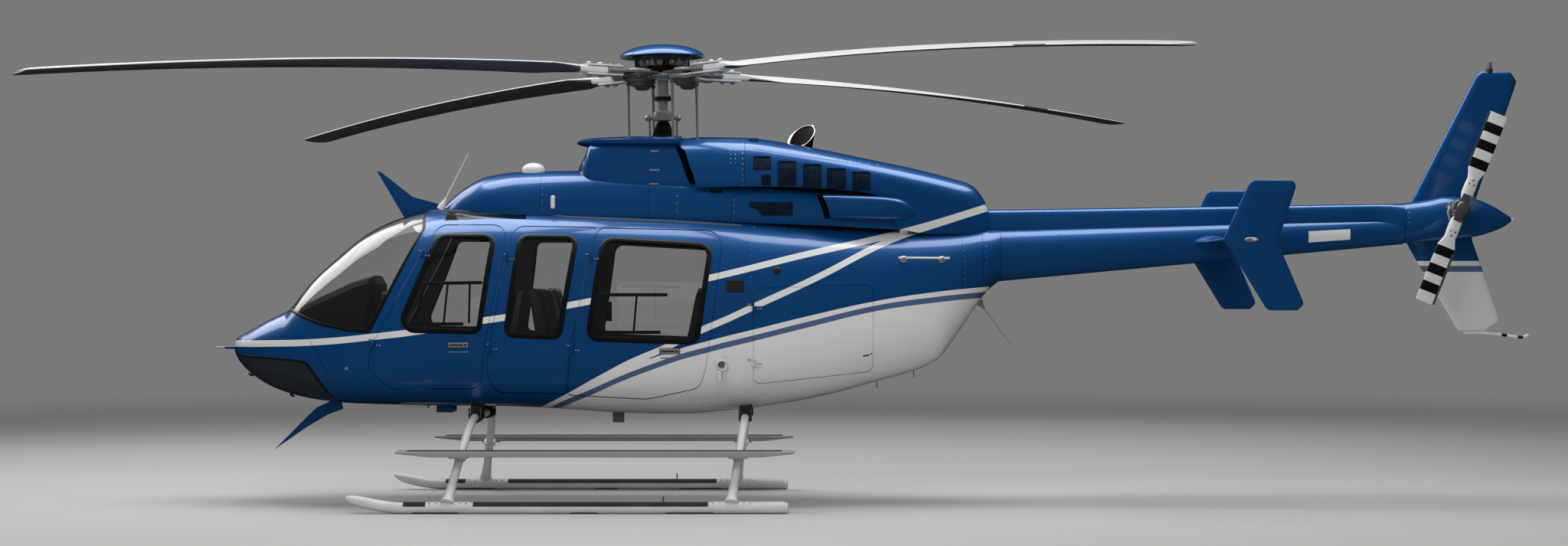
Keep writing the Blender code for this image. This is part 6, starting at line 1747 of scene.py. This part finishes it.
SHIELD_EDGE = [p for p in arcs(WINDSHIELD) if p[0] > -4.445 and p[1] < 2.30] + [(-3.345, 2.312)]
for side in (-1, 1):
    add_strip(bm, CHIN_EDGE, side, 0.007, 0.003, closed=False)
    add_strip(bm, SHIELD_EDGE, side, 0.012, 0.003, closed=False)
post_at = np.linspace(-4.438, -3.36, 40)
post = np.column_stack([post_at, np.zeros(40), rows_at(FUSELAGE, post_at)[1]])
add_sweep(bm, [Vector(p) for p in post], strip(0.014, 0.003), [Vector(n) for n in normals_at(FUSELAGE, post)])
piece("fixed_window_seals", bm, [RUBBER])
print("seals:", sum(1 for door in DOORS.values() if door[1]) + 1)

# %% Hinges and handles
# lower hinge pin, direction of the axis, height of the upper hinge
HINGES = {
    "crew_door_left": ((-3.69218, -0.72855, 1.27), (0.46832, 0.07883, 0.88004), 1.97, "airframe"),
    "litter_door_left": ((-2.779, -0.77482, 1.24), (0.1784, 0.07977, 0.98072), 1.94, "airframe"),
    "passenger_door_left": ((-2.13901, -0.77854, 1.23), (0.1957, 0.07986, 0.97741), 1.94, "litter_door_left_body"),
    "crew_door_right": ((-3.69218, 0.72855, 1.27), (0.46832, -0.07883, 0.88004), 1.97, "airframe"),
    "passenger_door_right": ((-2.13901, 0.77854, 1.23), (0.1957, -0.07986, 0.97741), 1.94, "airframe"),
    "baggage_door_left": ((-0.724, -0.70499, 1.12), (0.0, -0.07558, 0.99714), 1.55, "airframe"),
}
for name, (pin, axis, top, carrier) in HINGES.items():
    side, pin, axis = DOORS[name][2], Vector(pin), Vector(axis)
    reach = 0.024 if name == "litter_door_left" else 0.046
    leaves = (("door", f"{name}_body", 1, -0.0215, 0.0215, 0.070), ("frame", carrier, -1, 0.0235, 0.045, reach))
    for word, body, sense, low, high, out in leaves:
        bm = bmesh.new()
        for place in (pin, pin + axis * ((top - pin.z) / axis.z)):
            coat = 2 if name.startswith("baggage") and place == pin else 0  # this one sits in the white
            add_bar(bm, [place + axis * low, place + axis * high], 0.0085, coat, 16)
            middle = place + axis * (low + high) / 2
            flat = []
            for run in (0.25, 0.6, 1.0):
                away = sense * out * run
                z = middle.z - away * axis.x / axis.z * 0.2
                flat.append(skin_place(middle.x + away, z, side, out=0.0015)[0])
            path = [middle, flat[0] * 0.45 + middle * 0.55, *flat]
            half = (high - low) / 2 - 0.001
            add_sweep(bm, path, flat_bar(half, 0.003), [Vector((0, side, 0))] * len(path), coat)
            for run in (1, 2):
                spot = flat[run] - (flat[2] - flat[1]) * 0.2 * run + Vector((0, side * 0.003, 0))
                add_button(bm, spot, (0, side, 0), 0.006, 0.004, 1)
        if word == "door":
            add_bar(bm, [pin - axis * 0.026, pin + axis * 0.050], 0.0035, 1, 10)
        piece(f"{name}_hinges_{word}", bm, [PLAIN_BLUE, STEEL, WHITE], (), body, 40)


def oriented(spot, up, along=(1, 0, 0)):
    """A placing matrix: z off the skin, x along the given direction."""
    z = up.normalized()
    x = (Vector(along) - z * Vector(along).dot(z)).normalized()
    return shift(spot) @ Matrix((x, z.cross(x), z)).transposed().to_4x4()


def add_handle(bm, x, z, side, length):
    """A lever in a shallow plate, its lock, and the slot of the latch below it."""
    spot, up = skin_place(x, z, side)
    at = oriented(spot, up)
    add_block(bm, (-length / 2 - 0.006, -0.024, -0.004), (length / 2 + 0.006, 0.024, 0.002), 1, 0.001, at)
    add_block(bm, (-length / 2, -0.020, 0.004), (length / 2, 0.020, 0.014), 0, 0.005, at)
    add_block(bm, (-length / 2 + 0.008, -0.006, 0.0135), (length / 4, 0.006, 0.016), 1, 0.002, at)
    add_button(bm, at @ Vector((length / 2 - 0.022, 0.0, 0.012)), up, 0.010, 0.006, 1, 16)
    add_block(bm, (-length / 2, -0.058, -0.003), (length / 2, -0.050, 0.002), 0, 0.001, at)


# door: station and height of the lever, its length; the baggage door has a flush latch instead
HANDLES = {
    "crew_door_left": (-3.017, 1.269, 0.155),
    "crew_door_right": (-3.017, 1.269, 0.155),
    "passenger_door_left": (-1.373, 1.222, 0.150),
    "passenger_door_right": (-1.373, 1.222, 0.150),
    "baggage_door_left": (0.165, 1.183, 0.060),
}
for name, (x, z, length) in HANDLES.items():
    bm = bmesh.new()
    if name.startswith("baggage"):
        at = oriented(*skin_place(x, z, DOORS[name][2]))
        add_block(bm, (-length / 2, -0.006, -0.004), (length / 3, 0.006, 0.003), 1, 0.002, at)
        spot = at @ Vector((length / 2 + 0.008, 0.010, 0.001))
        add_button(bm, spot, at.to_3x3() @ UP, 0.007, 0.003, 1, 16)
    else:
        add_handle(bm, x, z, DOORS[name][2], length)
    piece(f"{name}_handle", bm, [STEEL, DARK_METAL], body=f"{name}_body")
print("hinges and handles:", len(HINGES), len(HANDLES))

# %% [markdown]
# ## Lights, aerials, vents and seams
# Small parts on the skin: each is a few turned or swept forms at measured places. Panel joints are
# narrow strips of sealant, slightly proud, in a darker blue, and each row of screws is a row of
# small domed heads.

# %% Small parts of the airframe
SEALANT = plain_finish("dark_blue_sealant", "#04101f", "#0a1d33", 2.0, 0.5)
GREY_RAIL = plain_finish("dull_grey_drip_rail", "#4b4f55", "#646970", 3.0, 0.55)
WHITE_PLASTIC = plain_finish("moulded_white_plastic", "#cfcfcd", "#e4e4e2", 2.0, 0.35)
bm = bmesh.new()
BLUE_, WHITE_, DARK_, METAL_, RAIL_ = range(5)
# whip aerials: foot, tip, radius at the foot, finish
WHIPS = [
    ((-3.226, -0.12, 2.372), (-3.016, -0.12, 2.790), 0.0065, WHITE_),
    ((1.090, 0.0, 1.600), (1.354, 0.0, 1.247), 0.0045, METAL_),
]
for foot, tip, radius, mat in WHIPS:
    foot, tip = Vector(foot), Vector(tip)
    base = [(0.030, -0.03), (0.026, 0.010), (0.012, 0.045), (0.008, 0.070)]
    add_turned(bm, base, standing(foot, tip - foot), 20, mat)
    add_bar(bm, [foot, foot.lerp(tip, 0.15), foot.lerp(tip, 0.5), tip], radius, mat, 10, [1.2, 1.0, 0.7, 0.4])
dome = [(0.094, -0.02), (0.094, 0.012), (0.088, 0.035), (0.070, 0.055), (0.042, 0.068), (0.015, 0.073)]
add_turned(bm, dome, shift((-2.504, 0, 2.650)), 40, WHITE_)
spot, up = skin_place(-2.312, 2.392, -1, ROOF_FAIRING)
add_bar(bm, [spot + Vector((0, 0, z)) for z in (-0.052, -0.044, 0.044, 0.052)], 0.018, WHITE_, 16, [0.55, 1, 1, 0.55])
# aerials under the belly: corners, finish, ease
for low, high, mat, ease in (((-1.865, -0.006, 0.632), (-1.772, 0.006, 0.80), RAIL_, 0.004),
                             ((-3.275, -0.10, 0.716), (-3.133, 0.10, 0.80), BLUE_, 0.012),
                             ((-3.571, -0.07, 0.747), (-3.349, 0.07, 0.80), WHITE_, 0.010)):
    add_block(bm, low, high, mat, ease)
for x, z in ((0.558, 1.0), (0.262, 0.914)):
    add_bar(bm, [(x, -0.10, z), (x - 0.01, -0.10, z + 0.09)], 0.006, METAL_, 10)
for x, z in ((-4.781, 1.025), (-4.448, 0.858)):
    add_button(bm, (x, 0, z - 0.004), (-0.5, 0, -0.86), 0.022, 0.014, DARK_, 20)
add_bar(bm, [(-5.066, 0, 1.235), (-4.99, 0, 1.235)], 0.0066, METAL_, 14)
add_bar(bm, [(-4.995, 0, 1.235), (-4.985, 0, 1.235), (-4.88, 0, 1.235)], 0.011, BLUE_, 14, [0.7, 1, 1.1])
# the light on the fin, and one on each end plate
add_turned(bm, [(0.027, -0.02), (0.027, 0.020), (0.022, 0.030)], shift((5.2405, 0.142, 3.468)), 28, DARK_)
lamp_glass = [(0.0205, 0.0), (0.0205, 0.055), (0.014, 0.066), (0.004, 0.070)]
add_turned(bm, lamp_glass, shift((5.2405, 0.142, 3.486)), 28, RAIL_)
for side in (-1, 1):
    for x, wide, mat in ((3.098, 0.058, METAL_), (3.118, 0.030, WHITE_), (3.076, 0.021, RAIL_)):
        rise = 0.012 + 0.1 / wide * 0.001
        lens = [(wide, -0.004), (wide * 0.95, 0.006), (wide * 0.7, rise), (wide * 0.3, rise + 0.004)]
        at = oriented(Vector((x, side * 1.015, 2.083)), Vector((0, side, 0)))
        add_turned(bm, lens, at @ Matrix.Diagonal((1, 0.34, 1, 1)), 28, mat)
    rings = []
    for y, grow in ((0.135, 1.25), (0.16, 1.0), (0.20, 0.72), (0.25, 0.45), (0.30, 0.22)):
        half, tall = 0.15 * grow ** 0.3, 0.026 + 0.030 * grow
        rings.append([(2.94 + half * cos(t), side * y, STABILIZER_Z + tall * sin(t)) for t in circle(32)])
    add_rings(bm, rings, BLUE_)
brush = standing((5.372, 0, float(TAIL_CONE[-1][4])), (1, 0, 0))
add_turned(bm, [(0.013, -0.02), (0.013, 0.012), (0.008, 0.022)], brush, 20, WHITE_)
# blank plate on the boom
quads = []
for x in (3.717, 4.053):
    radius, middle = boom_size(x)[0] + 0.0014, boom_size(x)[1]
    quads.append([(x, -y, middle + z) for y, z in arc_points(radius, np.linspace(-0.40, 0.26, 7))])
backs = [[(x, y * 0.992, z) for x, y, z in reversed(column)] for column in quads]
add_rings(bm, [quads[0] + backs[0], quads[1] + backs[1]], WHITE_)
# a dark vent with slats on the left side
at = oriented(*skin_place(-0.8665, 1.7255, -1))
add_block(bm, (-0.0715, -0.0475, -0.010), (0.0715, 0.0475, 0.0015), DARK_, 0.001, at)
for k in range(4):
    add_block(bm, (-0.065, -0.038 + k * 0.024, 0.0), (0.065, -0.031 + k * 0.024, 0.005), DARK_, 0.001, at)
# the white filler cup with its cap, vent fins and drain blade
at = oriented(*skin_place(-0.966, 1.113, -1))
add_turned(bm, [(0.048, -0.004), (0.048, 0.016), (0.040, 0.022), (0.036, 0.008), (0.0, 0.006)], at, 32, WHITE_)
add_turned(bm, [(0.027, 0.004), (0.025, 0.018), (0.012, 0.024)], at @ shift((-0.006, 0.006, 0)), 24, RAIL_)
for k in range(3):
    low = -0.062 - 0.026 * k
    add_turned(bm, [(0.019, -0.004), (0.018, 0.012), (0.008, 0.016)], at @ shift((-0.022, low, 0)), 20, WHITE_)
    add_block(bm, (-0.038, low - 0.013, -0.002), (-0.006, low - 0.009, 0.010), RAIL_, 0.001, at)
add_block(bm, (0.010, -0.118, -0.004), (0.020, -0.030, 0.016), WHITE_, 0.003, at)
add_block(bm, (0.002, 0.070, -0.003), (0.036, 0.078, 0.006), WHITE_, 0.002, at)
# a round knob, the static port and the grab bar
add_button(bm, *skin_place(-0.538, 1.848, -1), 0.030, 0.020, DARK_, 28)
add_button(bm, *skin_place(-3.902, 1.084, -1), 0.014, 0.004, METAL_, 20)
ends = [skin_place(x, 1.938, -1) for x in (0.455, 0.761)]
bar = [spot + up * 0.036 for spot, up in ends]
add_bar(bm, [bar[0] + (bar[0] - bar[1]) * 0.15, bar[1] + (bar[1] - bar[0]) * 0.17], 0.008, WHITE_, 14)
post = [(0.030, -0.004), (0.028, 0.004), (0.012, 0.010), (0.010, 0.034), (0.013, 0.042), (0.004, 0.046)]
for spot, up in ends:
    add_turned(bm, post, standing(spot, up), 24, METAL_)
piece("airframe_small_parts", bm, [PLAIN_BLUE, WHITE_PLASTIC, DARK_METAL, STEEL, GREY_RAIL])
print("small parts are on")

# %% Drip rail, seams and screw heads
bm = bmesh.new()
DRIP = [(-3.364, 2.333), (-2.900, 2.318), (-2.432, 2.303), (-2.192, 2.272), (-1.419, 2.240), (-0.818, 2.205)]
for side in (-1, 1):
    add_strip(bm, DRIP, side, 0.011, 0.007, 1, closed=False, step=0.03)
seams = [
    # table, line in side view, half width
    (FUSELAGE, [(0.930, 2.10), (0.930, 1.72)], 0.0012),
    (FUSELAGE, [(-4.20, 1.30), (-3.905, 0.80)], 0.0016),
    (FUSELAGE, [(1.10, 2.20), (1.10, 1.66)], 0.0016),
    (ROOF_FAIRING, [(-2.414, 2.60), (-2.414, 2.32)], 0.0016),
    (ROOF_FAIRING, [(-1.55, 2.55), (-1.55, 2.26)], 0.0016),
    (ROOF_FAIRING, [(-0.90, 2.42), (-0.90, 2.24)], 0.0016),
    (cowl_rows, [(-0.795, 2.88), (-0.795, 2.50)], 0.0020),
    (cowl_rows, [(-0.713, 2.808), (0.268, 2.672)], 0.0020),
    (TAIL_CONE, [(5.09, 2.43), (5.09, 2.17)], 0.0016),
]
for table_, line, half in seams:
    for side in (-1, 1):
        add_strip(bm, line, side, half, 0.0006, 0, closed=False, table=table_, step=0.03)
for side in (-1, 1):
    for x in (1.249, 4.497):
        radius, middle = boom_size(x)
        arc = arc_points(radius + 0.0005, np.linspace(-pi / 2, radians(48), 30))
        add_bar(bm, [(x, side * y, middle + z) for y, z in arc], 0.0016, 0, 6)
rows_of_heads = [
    # table, first, last, count, radius
    (cowl_rows, (-0.812, 2.862), (-0.812, 2.520), 9, 0.0045),
    (cowl_rows, (-0.700, 2.822), (0.262, 2.690), 14, 0.0045),
    (cowl_rows, (-0.905, 2.835), (-0.905, 2.700), 5, 0.0040),
    (cowl_rows, (-0.870, 2.835), (-0.870, 2.700), 5, 0.0040),
    (ROOF_FAIRING, (-1.330, 2.440), (-1.330, 2.270), 4, 0.0045),
    (ROOF_FAIRING, (-2.398, 2.560), (-2.398, 2.340), 5, 0.0040),
    (ROOF_FAIRING, (-0.880, 2.410), (-0.880, 2.260), 4, 0.0045),
    (FUSELAGE, (-0.720, 2.195), (0.260, 2.170), 5, 0.0060),
    (FUSELAGE, (1.125, 2.180), (1.125, 1.690), 12, 0.0035),
    (FUSELAGE, (0.945, 2.10), (0.945, 1.74), 9, 0.0030),
    (FUSELAGE, (-0.745, 2.10), (-0.745, 1.76), 9, 0.0030),
    (TAIL_CONE, (4.530, 2.40), (4.530, 2.24), 5, 0.0040),
]
for table_, first, last, count, radius in rows_of_heads:
    for side in (-1, 1):
        for k in range(count):
            share = k / (count - 1)
            x, z = (a + (b - a) * share for a, b in zip(first, last))
            add_button(bm, *skin_place(x, z, side, table_), radius, 0.002, 2, 10)
# studs along the joint of the shaft cover
for x in np.linspace(1.35, 4.40, 9):
    radius, middle = boom_size(x)
    for side in (-1, 1):
        turn = radians(42)
        up = Vector((0, side * cos(turn), sin(turn)))
        add_button(bm, Vector((x, 0, middle)) + up * radius, up, 0.006, 0.004, 2, 12)
# latches on the mast fairing and the block on the engine cowling's top
for x, z, half in ((-1.510, 2.797, 0.032), (-1.510, 2.648, 0.040), (-1.514, 2.537, 0.037)):
    for side in (-1, 1):
        at = oriented(*skin_place(x, z, side, mast_rows))
        add_block(bm, (-half, -0.007, -0.003), (half, 0.007, 0.006), 2, 0.002, at)
add_block(bm, (-0.765, -0.31, 2.86), (-0.690, -0.25, 2.905), 3, 0.006)
at = oriented(*skin_place(-1.02, 2.478, -1, ROOF_FAIRING))
add_block(bm, (-0.05, -0.016, -0.01), (0.05, 0.016, 0.002), 4, 0.010, at)
piece("seams_and_screws", bm, [SEALANT, GREY_RAIL, STEEL, PLAIN_BLUE, NYLON])
print("rows of screws:", len(rows_of_heads), "seams:", len(seams))
